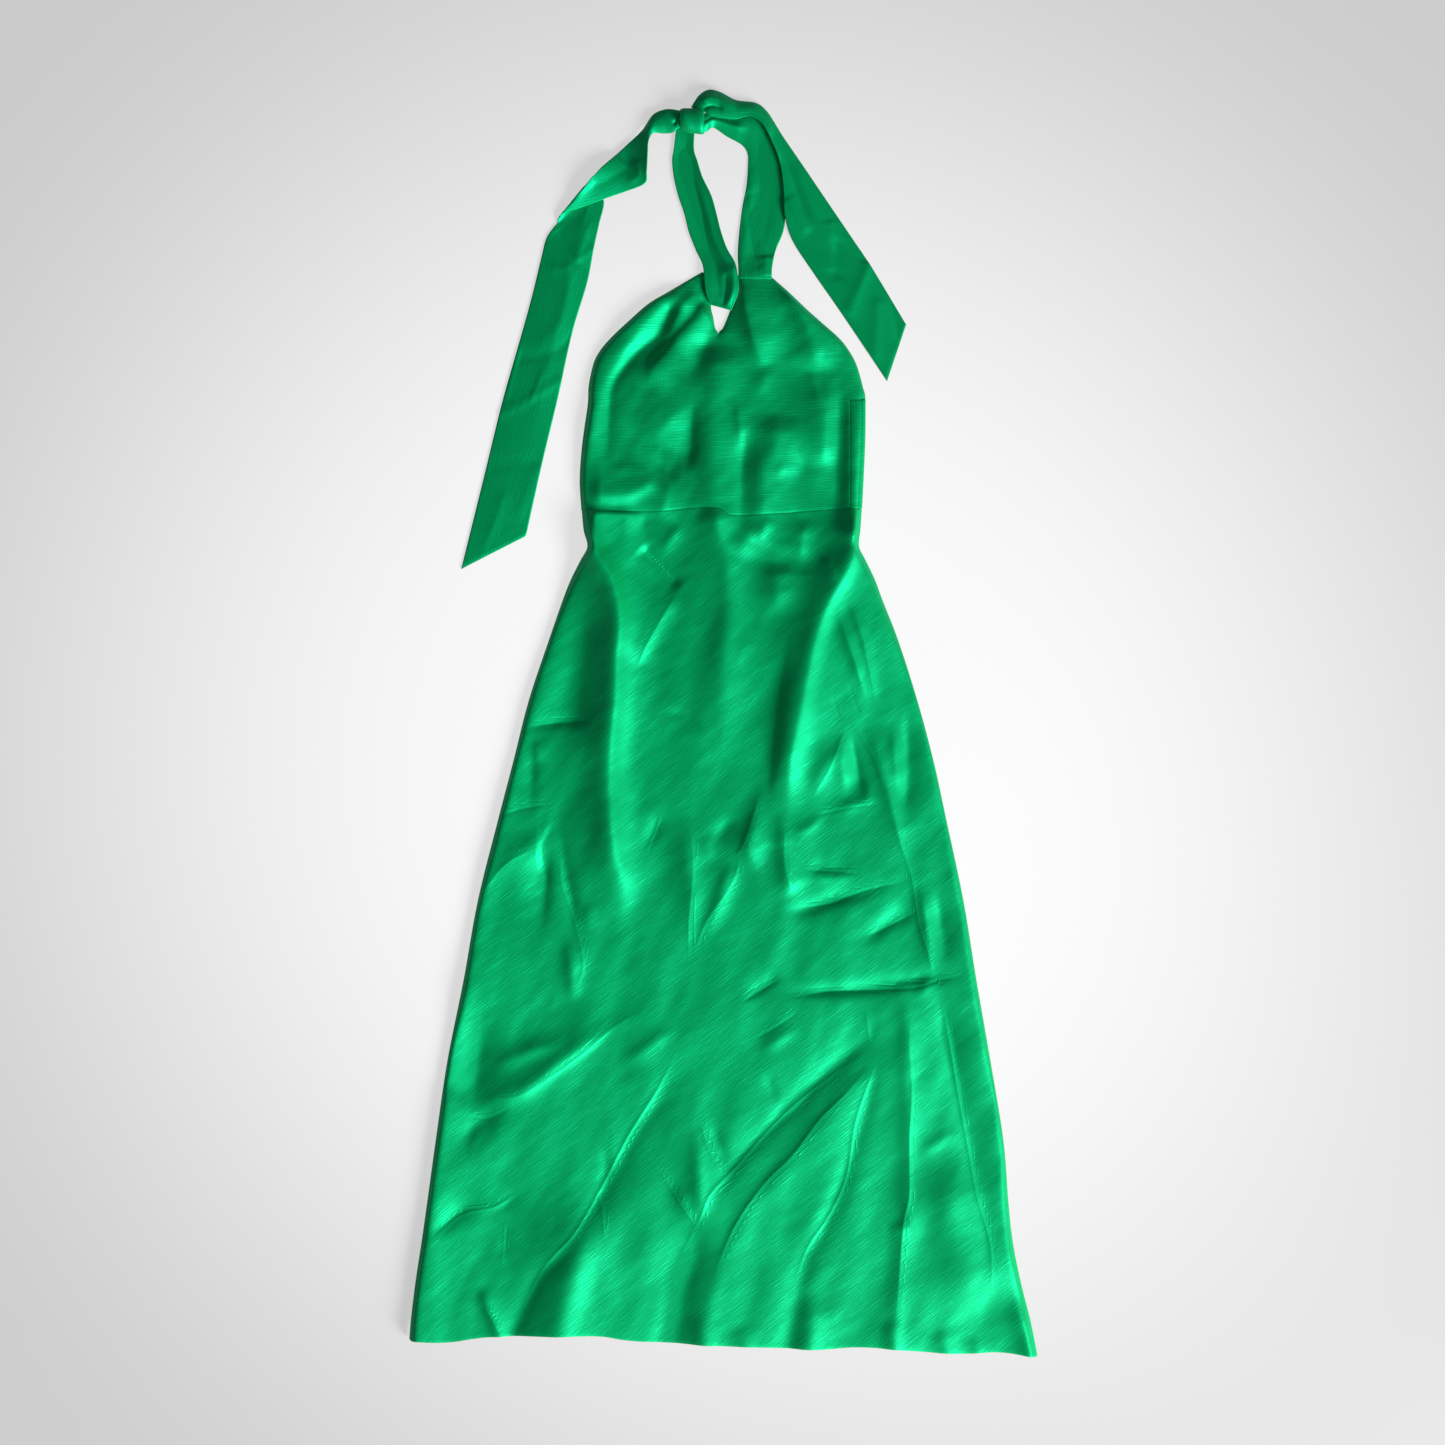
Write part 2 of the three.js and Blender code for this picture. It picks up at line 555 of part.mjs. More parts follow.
const dress = new THREE.Group();
dress.add(
  piece("skirt_front", skirtFront(), "front"),
  piece("skirt_back", skirtBack(), "back"),
  piece("bodice_front", bodiceFront(), "front"),
  piece("bodice_back", bodiceBack(), "back"),
  piece("halter_strap_left", ribbonGeometry(LEFT_STRAP, STRAP_STEPS), "strap"),
  piece("halter_strap_right", ribbonGeometry(RIGHT_STRAP, STRAP_STEPS), "strap"),
  piece("neck_knot", knotBand(), "strap"),
  piece("tie_end_left", ribbonGeometry(LEFT_TIE, TIE_STEPS), "strap"),
  piece("tie_end_right", ribbonGeometry(RIGHT_TIE, TIE_STEPS), "strap"),
);

export default dress;
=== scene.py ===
# Halter dress laid flat on a pale floor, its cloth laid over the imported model.
# The tables hold millimetres of the dress: +X is its right, +Y points to its neck, +Z is up.
import math

import bmesh
import bpy
import numpy as np
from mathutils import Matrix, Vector, noise


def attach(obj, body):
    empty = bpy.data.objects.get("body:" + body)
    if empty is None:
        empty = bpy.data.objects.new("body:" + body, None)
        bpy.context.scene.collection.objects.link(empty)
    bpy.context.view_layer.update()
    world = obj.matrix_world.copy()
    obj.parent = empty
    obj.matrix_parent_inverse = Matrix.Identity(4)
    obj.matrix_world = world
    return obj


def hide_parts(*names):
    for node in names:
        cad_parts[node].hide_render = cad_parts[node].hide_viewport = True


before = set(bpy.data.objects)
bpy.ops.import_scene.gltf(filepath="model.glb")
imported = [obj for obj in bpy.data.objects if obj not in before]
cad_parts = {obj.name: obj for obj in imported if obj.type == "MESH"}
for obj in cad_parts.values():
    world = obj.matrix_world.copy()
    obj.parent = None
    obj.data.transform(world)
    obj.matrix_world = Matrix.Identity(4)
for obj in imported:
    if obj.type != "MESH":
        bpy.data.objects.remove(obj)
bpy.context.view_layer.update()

MM = 0.001  # metres in a millimetre

# The cloth
PANEL_SHELL = 0.7  # thickness of a panel's cloth
TIE_SHELL = 1.3  # thickness of a strap or tie, which is sewn double
BACK_LIE = 0.5  # middle of the back's cloth above the floor
FRONT_LIE = 2.0  # middle of the front's cloth where it rests on the back
BIAS = math.radians(38)  # the skirt's threads run at this angle across the dress
BODICE_GRAIN = math.radians(3)
LIE_OF_RUMPLES = math.radians(72)  # the low rumples run mostly down the dress
# Low rumples all over the front: height, size, turn, how much longer than wide, and seed
RUMPLES = [
    (3.2, 80, LIE_OF_RUMPLES, 1.8, 3.0),
    (1.4, 30, LIE_OF_RUMPLES, 2.0, 7.0),
    (0.33, 11, BIAS, 2.2, 11.0),
]
LOWEST_LIFT = 0.35  # the front eases off below this and never reaches the back
LOWEST_EASE = 2
WELD = 0.00002  # metres, below which two points become one
FLOOR_GAP = 0.05  # straps and ties stay this far off the floor

# How the front lies
PLATEAU = 4.5  # how far the front stands off the back between its side edges
PLATEAU_REACH = 15  # it rises to that over about this from an edge
CROWN_RISE = 2.6  # the soft roll of cloth along each side edge stands up over this
# That roll's height and how far it reaches in: y, left height, left reach, right height, right reach
CROWNS = [
    (520, 3, 20, 4, 26), (400, 3.5, 16, 4, 26), (330, 7, 16, 5, 24), (250, 7, 20, 5, 24),
    (200, 3, 20, 3, 20), (60, 8, 26, 4, 20), (-100, 9, 26, 5, 18), (-300, 12, 24, 5.5, 20),
    (-550, 13, 28, 6, 24), (-727, 13, 40, 7, 30),
]
FOLD_HOLD = 4  # folds die away this near a side edge
NECK_START = 475  # from here up to the neckline the front sinks
NECK_SHARE = 0.5  # by this share
BACK_TOP = 371  # top edge of the low back
# The front sinks softly to the floor between these heights above the low back's edge
STEP_START = 3
STEP_END = 55

# Along the waist seam: left side, meeting of the lobes, side seam on top, right side
SEAM_LEFT = -163
SEAM_MIDDLE = -4
SEAM_RIGHT = 145.2
SEAM_END = 159
KEYHOLE_FOOT = 447
KEYHOLE_SECTION = 5  # the bodice's section at that foot
KEYHOLE_LIFT = 2  # the keyhole's edge stands as the cloth does this far from a side
NECKLINE = 512
OUTLINE_START = 400  # above this the bodice's own right edge is the dress's outline

# Side edges of the skirt, as (y, left, right), from the waist seam to the hem
SKIRT_SIDES = [
    (250, -163, 159), (222, -160.5, 157), (203, -156, 155.5), (187, -164, 163),
    (164, -175.5, 174), (141, -184.5, 182.5), (95, -200.5, 200.5), (26, -223.5, 222.5),
    (-43, -241, 241), (-112, -259, 256), (-204, -282, 275.5), (-296, -298.5, 290.5),
    (-388, -317, 306.5), (-480, -330.5, 321.5), (-549, -340, 327), (-595, -346.5, 332),
    (-641, -353.5, 341), (-687, -359, 352.5), (-727, -361.8, 360.5),
]
HEM_LEFT = SKIRT_SIDES[-1][1]
HEM_RIGHT = SKIRT_SIDES[-1][2]

# Side edges of the low back, as (y, left, right)
BACK_SIDES = [
    (371, -155, 163), (325, -161.5, 162.5), (279, -165, 160.5), (240, -163, 158.5),
]

# Lines across the dress, as (x, y)
WAIST_SEAM = [
    (-166, 244), (-79, 243), (-35, 247), (-4, 246), (10, 238.5), (63, 240.5), (135, 246),
    (166, 245),
]
HEM = [
    (-361, -708), (-317, -710), (-262, -704), (-151, -703), (-96, -710), (42, -716.5),
    (111, -719), (166, -716.5), (263, -723.5), (318, -722), (361, -727),
]

# Sections of the bodice from its neck down: x and y of its left edge, of the keyhole's left and right
# and of its right edge
BODICE_SECTIONS = [
    (-24.5, 518.5, -13, 511, 15, 514.5, 53.5, 514),
    (-62.5, 496, -12.5, 492, 17, 500, 74, 496),
    (-86, 482, -14.4, 478, 11.5, 484, 96, 475),
    (-110, 461, -12, 466, 5, 467, 114, 459),
    (-129, 443, -9.8, 454, -0.6, 454, 133, 442),
    (-141, 429, -6, 447, -6, 447, 144, 428),
    (-149, 414, -5, 428, -5, 428, 153, 411),
    (-154.5, 389, -5, 402, -5, 402, 160, 386),
    (-155.2, 375, -4, 381, -4, 381, 163, BACK_TOP),
    (-156, 364, -4, 368, -4, 368, SEAM_RIGHT, BACK_TOP),
    (-159.5, 340, -4, 342, -4, 342, SEAM_RIGHT, 343),
    (-163, 312, -4, 314, -4, 314, SEAM_RIGHT, 316),
    (-165, 278, -4, 280, -4, 280, SEAM_RIGHT, 280),
]

# Outlines of the dress on its two sides, as (y, x), from the neck to the hem
LEFT_OUTLINE = [(row[1], row[0]) for row in BODICE_SECTIONS] + [row[:2] for row in SKIRT_SIDES]
RIGHT_OUTLINE = [
    (row[7], row[6])
    for row in BODICE_SECTIONS
    if row[6] > SEAM_RIGHT or row[7] > OUTLINE_START
]
RIGHT_OUTLINE += [(y, right) for y, _, right in BACK_SIDES[1:3] + SKIRT_SIDES]

# The keyhole's two edges, as (y, x), from its top to its foot
KEYHOLE_LEFT = [(row[3], row[2]) for row in BODICE_SECTIONS[: KEYHOLE_SECTION + 1]]
KEYHOLE_RIGHT = [(row[5], row[4]) for row in BODICE_SECTIONS[: KEYHOLE_SECTION + 1]]

# Straps and ties, section by section: x, y, z of edge a, the same of edge b, and the middle's rise
LEFT_STRAP = [
    (-54, 687, 3.6, -33, 685, 4.4, -0.6), (-57, 661, 2.4, -34, 660, 3, -0.8),
    (-59, 647, 2.2, -30, 646, 2.6, -0.9), (-57, 627, 2.4, -24, 627, 3.4, -1.2),
    (-52, 606, 2.6, -14, 606, 4, -1.5), (-45, 585, 2.6, -8, 585, 4.4, -1.5),
    (-40, 565, 3, -3, 565, 5, -1.5), (-32, 544, 3.6, 4, 545, 6, -1.5),
    (-24, 526, 5, 13, 529, 7, -0.8), (-22, 506, 6.5, 16.5, 512, 7.8, 0.6),
    (-20, 492, 6, 17, 494, 7.8, 1), (-14.5, 480, 4.6, 9, 473.5, 5, 0.5),
]
RIGHT_STRAP = [
    (-36, 681, 9, -36, 700, 9, 6.6), (-21.5, 678, 8, -21.5, 699, 8, 4.5),
    (-12, 684, 4, -8, 702, 5, 3), (4, 674, 2.2, 13, 699, 3, 2.4),
    (21, 664.5, 1.4, 38, 696, 2, 2.4), (27.5, 655, 0.9, 52, 684, 1.2, 1.6),
    (28, 641, 0.9, 61, 664, 0.9, 0.8), (26.5, 618, 0.9, 69, 627, 0.9, 0.6),
    (22, 595, 0.9, 71, 597, 0.9, 0.6), (18.5, 568, 0.9, 69.5, 568, 0.9, 0.8),
    (16.5, 542, 1.2, 60, 543, 1.2, 1.2), (17, 524, 2, 56, 525, 1.4, 1.2),
    (17.5, 511, 3, 55, 510, 2, 1),
]
LEFT_TIE = [
    (-36.6, 700, 9, -36.6, 681, 9, 6.6), (-50, 702, 8.5, -50, 683, 8.5, 4.5),
    (-58, 704, 6, -58, 678, 6, 4), (-68, 704, 5, -68, 677, 5, 4), (-81, 698, 4, -81, 677, 7, 3),
    (-93, 681, 3, -86, 667, 10, 1), (-110, 665, 3, -87, 652, 12, -1),
    (-123, 653, 4, -88, 632, 13, -2), (-127, 649, 7, -90, 619, 9, -0.5),
    (-140, 637, 11, -111, 611, 4, 0.5), (-147, 629, 12, -134, 603, 4, 0.5),
    (-152, 624, 12, -164, 592, 4, 0.5), (-157, 617, 11, -184, 585, 5, 0),
    (-161, 613, 6, -190, 579, 3.4, 0), (-150, 608, 2, -191, 575, 1.4, 0),
    (-137.5, 600, 0.9, -196, 569, 0.9, 0), (-143, 573, 0.9, -204, 556, 0.9, 0.8),
    (-149, 546, 0.9, -210, 532, 0.9, 1.2), (-157, 505, 0.9, -221, 487, 0.9, 1.4),
    (-174, 448, 0.9, -236, 433, 0.9, 1.4), (-191, 371, 0.9, -255, 366, 0.9, 1.4),
    (-209, 296, 0.9, -276, 280, 0.9, 1.2), (-227, 215, 0.9, -301.5, 177, 0.9, 0.8),
]
RIGHT_TIE = [
    (-20.8, 700, 12, -37, 706.1, 9.5, 1), (-16, 696, 13, -28, 719.5, 8, 3),
    (-9, 694, 12, -17, 726.5, 6, 4), (0, 693, 11, -4, 724, 5, 4),
    (15, 692.5, 9.5, 14, 715, 5, 4), (30, 696, 8.4, 37, 712, 3, 3),
    (42, 690, 7.4, 49, 703.5, 1.6, 2), (50, 679, 6.8, 58, 690.5, 1.2, 1.6),
    (56, 666, 6, 67, 676, 1, 1.4), (62, 652, 5.4, 78, 660, 0.9, 1),
    (66.5, 634, 4.8, 91, 641, 0.9, 0.8), (69, 608, 4.4, 110, 613, 0.9, 0.8),
    (70, 584, 4, 131, 582, 0.9, 1), (79, 555, 1.4, 148, 557, 0.9, 1.2),
    (103, 518, 0.9, 165, 532, 0.9, 1.6), (137, 469, 0.9, 183, 503, 0.9, 1.6),
    (188, 393, 0.9, 210, 458, 0.9, 1),
]

# Folds along the straps and ties: height, reach and path. A place on the path is a share of the length
# and a share of the way from edge a to edge b.
LEFT_STRAP_FOLDS = [
    (-2.6, 7, [(0, 0.62), (0.3, 0.5), (0.7, 0.42), (0.85, 0.4), (1, 0.45)]),
    (1.8, 5, [(0.25, 0.8), (0.6, 0.72), (0.85, 0.78)]),
    (2.2, 3.5, [(0.72, 0.9), (0.88, 0.84), (1, 0.7)]),
    (-1.8, 3, [(0.78, 0.68), (1, 0.55)]),
]
RIGHT_STRAP_FOLDS = [
    (-2, 4, [(0.02, 0.5), (0.12, 0.62), (0.3, 0.72)]),
    (1.4, 3, [(0.06, 0.4), (0.2, 0.45), (0.32, 0.52)]),
    (-1.6, 9, [(0.28, 0.35), (0.5, 0.5), (0.8, 0.42)]),
    (1.6, 7, [(0.5, 0.12), (0.75, 0.16), (1, 0.1)]),
    (-1.8, 6, [(0.66, 0.1), (0.84, 0.42), (0.95, 0.6)]),
    (2, 7, [(0.85, 0.75), (1, 0.82)]),
]
LEFT_TIE_FOLDS = [
    (-3.2, 2.6, [(0.01, 0.25), (0.05, 0.42), (0.095, 0.75)]),
    (1.4, 5, [(0.3, 0.6), (0.34, 0.75), (0.4, 0.8)]),
    (-1.6, 9, [(0.28, 0.3), (0.4, 0.42), (0.52, 0.4)]),
    (0.9, 8, [(0.45, 0.2), (0.7, 0.35), (0.95, 0.3)]),
    (-1, 6, [(0.55, 0.75), (0.62, 0.5), (0.66, 0.25)]),
    (-1, 5, [(0.7, 0.9), (0.76, 0.55), (0.8, 0.2)]),
]
RIGHT_TIE_FOLDS = [
    (-2.4, 3, [(0.02, 0.3), (0.1, 0.4), (0.2, 0.35)]),
    (1.8, 4, [(0.05, 0.65), (0.14, 0.7), (0.26, 0.6)]),
    (1.4, 2, [(0.2, 0.1), (0.45, 0.05), (0.6, 0.04)]),
    (-1.4, 6, [(0.42, 0.3), (0.6, 0.35), (0.8, 0.4)]),
    (1.2, 8, [(0.6, 0.65), (0.85, 0.6)]),
    (-1.2, 6, [(0.8, 0.8), (0.86, 0.5), (0.9, 0.2)]),
]

# Creases across the straps and ties where they lie flat: height, reach and path in millimetres
TIE_CREASES = [
    (1.2, 3, [(-262, 355), (-255, 357), (-232, 367), (-210, 380), (-190, 392), (-184, 396)]),
    (-1, 4, [(-238, 420), (-231, 420), (-210, 422), (-188, 430), (-176, 443), (-170, 450)]),
    (0.9, 5, [(-207, 525), (-182, 523), (-157, 540), (-145, 550)]),
    (0.9, 8, [(-176, 560), (-179, 521), (-182, 471), (-200, 445), (-220, 430)]),
    (0.5, 2, [(-232, 440), (-239, 414), (-251, 364)]),
    (-0.6, 4, [(-275, 297), (-240, 298), (-205, 301)]),
    (0.9, 6, [(-250, 270), (-258, 244), (-280, 190)]),
    (0.8, 8, [(-214, 300), (-220, 275), (-242, 228)]),
    (1.2, 5, [(-170, 530), (-166, 540), (-151, 585)]),
    (0.9, 3.5, [(-205, 410), (-215, 385), (-222, 370)]),
    (1.2, 6, [(72, 605), (78, 594), (90, 575), (100, 562)]),
    (1.6, 6, [(168, 532), (165, 521), (148, 481), (140, 466)]),
    (1, 7, [(121, 580), (123, 566), (127, 533), (126, 515)]),
    (1.1, 6, [(178, 490), (177, 474), (174, 430), (176, 415)]),
    (-1.1, 5, [(196, 490), (198, 481), (200, 444), (204, 430)]),
    (-1, 8, [(22, 610), (26, 600), (38, 570), (53, 545), (60, 535)]),
]

# The knot's two rims, as (x, y, half its height)
KNOT_LEFT = (-49.5, 693, 11.4)
KNOT_RIGHT = (-22.5, 688.5, 14.2)
KNOT_DEPTH = 9.6
KNOT_BULGE = 0.07
KNOT_GATHER = 0.5  # height of its small gathers
GATHER_WAVES = 2.4  # half waves of them from rim to rim
GATHER_START = 0.6
GATHER_SWAY = 1.6  # how they shift on their way round
GATHER_TOP = 0.6  # their share on top
KNOT_TURN_IN = 2.2  # how far its rims turn in
KNOT_RADIUS = 12  # of its thread map
KNOT_WIDTH = 27


# Crests of the skirt's two long ridges, from the waist down, as (x, y)
LEFT_RIDGE = [
    (-160, 252), (-156, 222), (-149, 199), (-137, 181), (-126, 159), (-120, 118), (-124, 78), (-125, 32),
    (-129, -8), (-132, -54), (-131, -100), (-127, -146), (-118, -181), (-121, -221), (-132, -261),
]
RIGHT_RIDGE = [
    (153, 252), (153, 222), (150, 198), (139, 172), (118, 136), (104, 95), (95, 55), (85, 3),
    (75, -43), (72, -83), (74, -123),
]

# Ridges, and valleys where height is negative: height, away, toward, path and, unless it is FOLD_FADE,
# fade. The cloth falls off over the width away on the side that faces up and left, and over toward on
# the other, where the light is. A pair of widths is for start and end. A fold fades in and out over
# the shares of its length in fade.
FRONT_FOLDS = [
    # the two long ridges that run down from the waist, and the valley at the right one's foot
    (12, (14, 26), (9, 14), LEFT_RIDGE, (0.12, 0.3)),
    (5, (14, 26), (6, 10), RIGHT_RIDGE, (0.14, 0.25)),
    (6, (20, 30), (60, 16), RIGHT_RIDGE, (0.14, 0.25)),
    (-3, 18, 5, [(76, 118), (66, 49), (58, -23), (52, -67), (51, -100)]),
    (-3, 25, 15, [(-162, 153), (-163, 95), (-167, 26), (-162, -43)]),
    (5, (12, 22), (10, 26), [(-12, 252), (-5, 215), (3, 187), (4, 118), (-2, 49), (1, -8), (7, -66)],
        (0.1, 0.35)),
    # small folds under the waist seam
    (5, 3, 20, [(-156, 240), (-130, 240), (-88, 238)], (0.2, 0.3)),
    (2, 14, 16, [(-124, 170), (-110, 190), (-98, 202), (-84, 208)]),
    (3, 6, 6, [(-74, 194), (-60, 212), (-48, 228)]),
    (5, 12, 12, [(14, 188), (22, 204), (30, 219), (38, 234)]),
    (4, 7, 7, [(38, 204), (46, 222), (52, 238)]),
    (6, 18, 9, [(83, 184), (87, 200), (90, 219), (97, 236)]),
    (5, 12, 16, [(62, 186), (60, 170), (62, 148), (66, 120)]),
    (3, 5, 5, [(112, 190), (122, 178), (130, 160)]),
    (-3.2, 7, 5, [(-96, 203), (-84, 190), (-66, 170), (-48, 154)], (0.2, 0.2)),
    (2.6, 18, 8, [(-100, 64), (-88, 92), (-73, 118), (-52, 151)], (0.3, 0.2)),
    (1.5, 6, 6, [(9, 67), (22, 84), (37, 98)]), (-1.5, 4, 6, [(-78, 12), (-44, 9), (-21, -12)]),
    # left of the left ridge
    (-2.5, 9, 4, [(-229, -6), (-188, 0), (-147, 3)]), (2, 3, 8, [(-216, -20), (-212, -47)]),
    (-2.5, 10, 6, [(-218, -22), (-220, -60), (-220, -95)]), (-2, 8, 6, [(-248, -95), (-210, -95)]),
    (3, 12, 16, [(-277, -195), (-246, -160), (-217, -137), (-204, -138)]),
    (-3, 14, 6, [(-205, -141), (-204, -181), (-211, -250)]),
    (-2.5, 7, 6, [(-190, -102), (-181, -169), (-173, -209), (-175, -238)]),
    (3, 6, 10, [(-181, -238), (-174, -290), (-175, -322)]), (2, 6, 8, [(-156, -204), (-154, -238)]),
    # the creased middle
    (-2.5, 7, 4, [(-71, -103), (-79, -125), (-91, -153)]),
    (3.5, 10, 10, [(-45, -103), (-40, -158), (-37, -204), (-41, -267)]),
    (2, 5, 5, [(-24, -129), (-13, -160)]), (-2.5, 6, 5, [(-13, -139), (1, -123), (16, -106)]),
    (3, 6, 9, [(17, -158), (4, -178), (-9, -213), (-29, -246)]),
    (5.5, 9, 14, [(47, -72), (34, -120), (29, -146), (45, -171)]),
    (3.6, 8, 10, [(72, -89), (68, -132), (73, -181), (80, -199)]),
    # right of the right ridge
    (3, 6, 6, [(129, 128), (148, 78), (164, 24)]), (2, 5, 5, [(144, 137), (160, 95), (177, 13)]),
    (2.5, 8, 6, [(96, -86), (114, -54), (132, -26)]),
    (3, 8, 9, [(135, -6), (137, -48), (141, -89)]),
    (-2.5, 8, 4, [(143, 1), (154, -54), (158, -85)]),
    (2.5, 5, 6, [(118, -102), (145, -95), (165, -86), (167, -60)]),
    (2.5, 5, 5, [(75, -126), (97, -120), (118, -102)]),
    (3, 7, 8, [(162, 8), (179, -43), (195, -102), (212, -176)]),
    (-3.5, 9, 10, [(212, 29), (211, -20), (210, -77), (206, -129)]),
    (2.5, 6, 8, [(193, 1), (198, -43), (203, -89)]),
    (-3, 9, 5, [(65, -216), (91, -216), (131, -202), (157, -197), (210, -178)]),
    (-2.5, 8, 5, [(95, -164), (122, -167), (152, -166)]), (2, 5, 6, [(95, -176), (152, -177)]),
    (-3, 9, 5, [(155, -259), (188, -232), (226, -213)]),
    (3.5, 6, 8, [(225, -183), (232, -227), (240, -289)]),
    (-3, 8, 10, [(244, -186), (250, -232), (258, -278)]),
    (-3, 6, 4, [(51, -312), (105, -308), (166, -305), (227, -294), (279, -289)]),
    (-3, 8, 5, [(21, -319), (48, -301), (68, -286)]),
    (2.5, 5, 6, [(220, -320), (233, -301), (244, -293)]),
    # the lower left
    (-4, 30, 12, [(-275, -301), (-281, -370), (-287, -422), (-296, -448)]),
    (4.5, 14, 8, [(-296, -448), (-257, -431), (-223, -416), (-188, -388), (-151, -362), (-76, -323)]),
    (2.5, 8, 8, [(-269, -399), (-228, -378), (-171, -360)]),
    (2.5, 8, 8, [(-119, -396), (-85, -370), (-52, -346)]),
    (-3, 12, 8, [(-296, -512), (-292, -474), (-272, -454), (-242, -447)]),
    (-3, 14, 6, [(-346, -598), (-320, -576), (-298, -560), (-264, -551)]),
    (-2, 6, 5, [(-258, -562), (-246, -549), (-232, -535)]),
    (-1.5, 5, 4, [(-250, -574), (-252, -620)]),
    # the long diagonals
    (-2.6, 12, 9, [(-44, -366), (-73, -431), (-108, -488), (-136, -537), (-160, -572), (-181, -608),
        (-211, -636), (-243, -704)], (0.2, 0)),
    (7.5, 24, 24, [(-147, -540), (-165, -600), (-180, -652), (-191, -712)], (0.4, 0)),
    (4, 5, 7, [(-280, -646), (-269, -673), (-254, -710)], (0.4, 0)),
    (4, 9, 10, [(-30, -451), (-30, -503), (-27, -549), (-28, -585)]),
    (-4, 14, 14, [(-21, -577), (-39, -620), (-53, -654), (-64, -712)], (0.3, 0)),
    (-2.5, 6, 5, [(-14, -452), (-5, -485), (5, -516)]),
    (3, 5, 6, [(-55, -526), (-45, -554), (-35, -574)]), (-1.5, 5, 4, [(-135, -474), (-135, -546)]),
    (-2.6, 9, 6, [(171, -314), (171, -354), (140, -384), (106, -415), (53, -466), (13, -508), (-2, -537),
        (-18, -581)]),
    (1.8, 9, 14, [(175, -370), (165, -401), (140, -429), (106, -468), (59, -527), (28, -562),
        (-11, -647), (-22, -707)], (0.2, 0)),
    (-2, 10, 8, [(178, -374), (172, -413), (157, -468), (140, -519), (112, -588), (96, -619), (85, -666),
        (76, -713)], (0.2, 0)),
    (6, 12, 18, [(106, -652), (102, -681), (97, -714)], (0.6, 0)),
    (2.6, 9, 9, [(205, -307), (210, -346), (211, -407), (212, -501), (210, -546), (212, -574),
        (204, -597), (196, -712)], (0.15, 0)),
    (2, 5, 5, [(189, -585), (213, -574)]),
    (-3.2, (8, 16), (12, 20), [(248, -301), (257, -365), (269, -415), (277, -454), (290, -513),
        (302, -574), (304, -713)], (0.15, 0.3)),
    (6, (24, 44), (30, 60), [(240, -500), (262, -560), (284, -620), (294, -690)], (0.3, 0.3)),
    (2, 5, 5, [(221, -494), (244, -482), (270, -465)]),
    (2, 5, 6, [(39, -378), (63, -362), (88, -347)]), (-2, 5, 4, [(48, -399), (62, -438)]),
    # the waves of the hem
    (6, 14, 6, [(329, -652), (343, -687), (354, -724)], (0.5, 0)),
    (4, 10, 10, [(189, -682), (195, -715)], (0.6, 0)),
    (4, 9, 10, [(249, -693), (256, -721)], (0.6, 0)),
    (3.5, 8, 8, [(-29, -675), (-25, -713)], (0.6, 0)),
    (3, 8, 8, [(19, -692), (25, -715)], (0.6, 0)), (3, 7, 8, [(287, -704), (292, -723)], (0.6, 0)),
    # the left lobe of the bodice
    (4.4, 18, 13, [(-40, 500), (-66, 487), (-92, 462), (-112, 432), (-128, 406), (-145, 360),
        (-155, 315), (-159, 288)], (0.1, 0.3)),
    (-4, 10, 7, [(-54, 490), (-64, 465), (-76, 445), (-101, 424), (-126, 392), (-132, 360), (-134, 315),
        (-140, 285)], (0.1, 0.3)),
    (4.5, 7, 12, [(-28, 494), (-46, 478), (-58, 452), (-70, 436)], (0.15, 0.3)),
    (-4.5, 9, 6, [(-22, 492), (-36, 468), (-56, 446), (-78, 424), (-104, 408)], (0.15, 0.3)),
    (5, 9, 16, [(-20, 484), (-40, 458), (-62, 432), (-80, 404), (-88, 380)], (0.1, 0.3)),
    (-3.5, 12, 9, [(-14, 462), (-20, 434), (-32, 410), (-48, 388)]),
    (5, 22, 14, [(-44, 368), (-70, 342), (-90, 318)]),
    (-4.5, 16, 6, [(-34, 380), (-37, 340), (-38, 308), (-48, 286)]),
    (-3, 8, 4, [(-86, 306), (-66, 292), (-48, 282)]),
    (1.6, 4, 4, [(-136, 289), (-108, 291), (-82, 289)]),
    (5, 16, 8, [(-158, 261), (-120, 261), (-97, 268), (-74, 284)], (0.15, 0.2)),
    (4, 12, 8, [(-74, 230), (-68, 256), (-60, 286)]),
    # below the keyhole
    (5, 20, 24, [(-10, 436), (-10, 400), (-12, 360), (-12, 300), (-12, 246), (-14, 200)], (0.15, 0.3)),
    (2.5, 5, 8, [(14, 376), (18, 345), (20, 312)]),
    # the right lobe
    (6.5, 8, 20, [(18, 535), (22, 500), (28, 470), (36, 436), (48, 404)], (0.3, 0.3)),
    (6, (6, 18), (8, 20), [(58, 512), (80, 484), (96, 456), (104, 424), (104, 400)], (0.25, 0.3)),
    (3.5, 10, 8, [(50, 412), (46, 392), (34, 376)]),
    (2.4, 8, 4, [(96, 408), (106, 384), (115, 358)]),
    (5, 22, 10, [(117, 395), (116, 360), (114, 315), (112, 290)]),
    (-4, 8, 16, [(24, 352), (26, 318), (22, 286), (22, 245), (20, 205)]),
    (5, 20, 18, [(61, 356), (58, 315), (44, 288), (42, 247), (40, 205)], (0.15, 0.3)),
    (3, 12, 6, [(48, 288), (72, 292), (92, 300)]),
    (-4, 10, 12, [(133, 404), (134, 360), (133, 300), (131, 245), (128, 220)], (0.3, 0.4)),
    # the roll of cloth down its right side
    (5, 12, 14, [(149, 410), (148, 360), (148, 300), (149, 240), (153, 200)], (0.45, 0.3)),
]

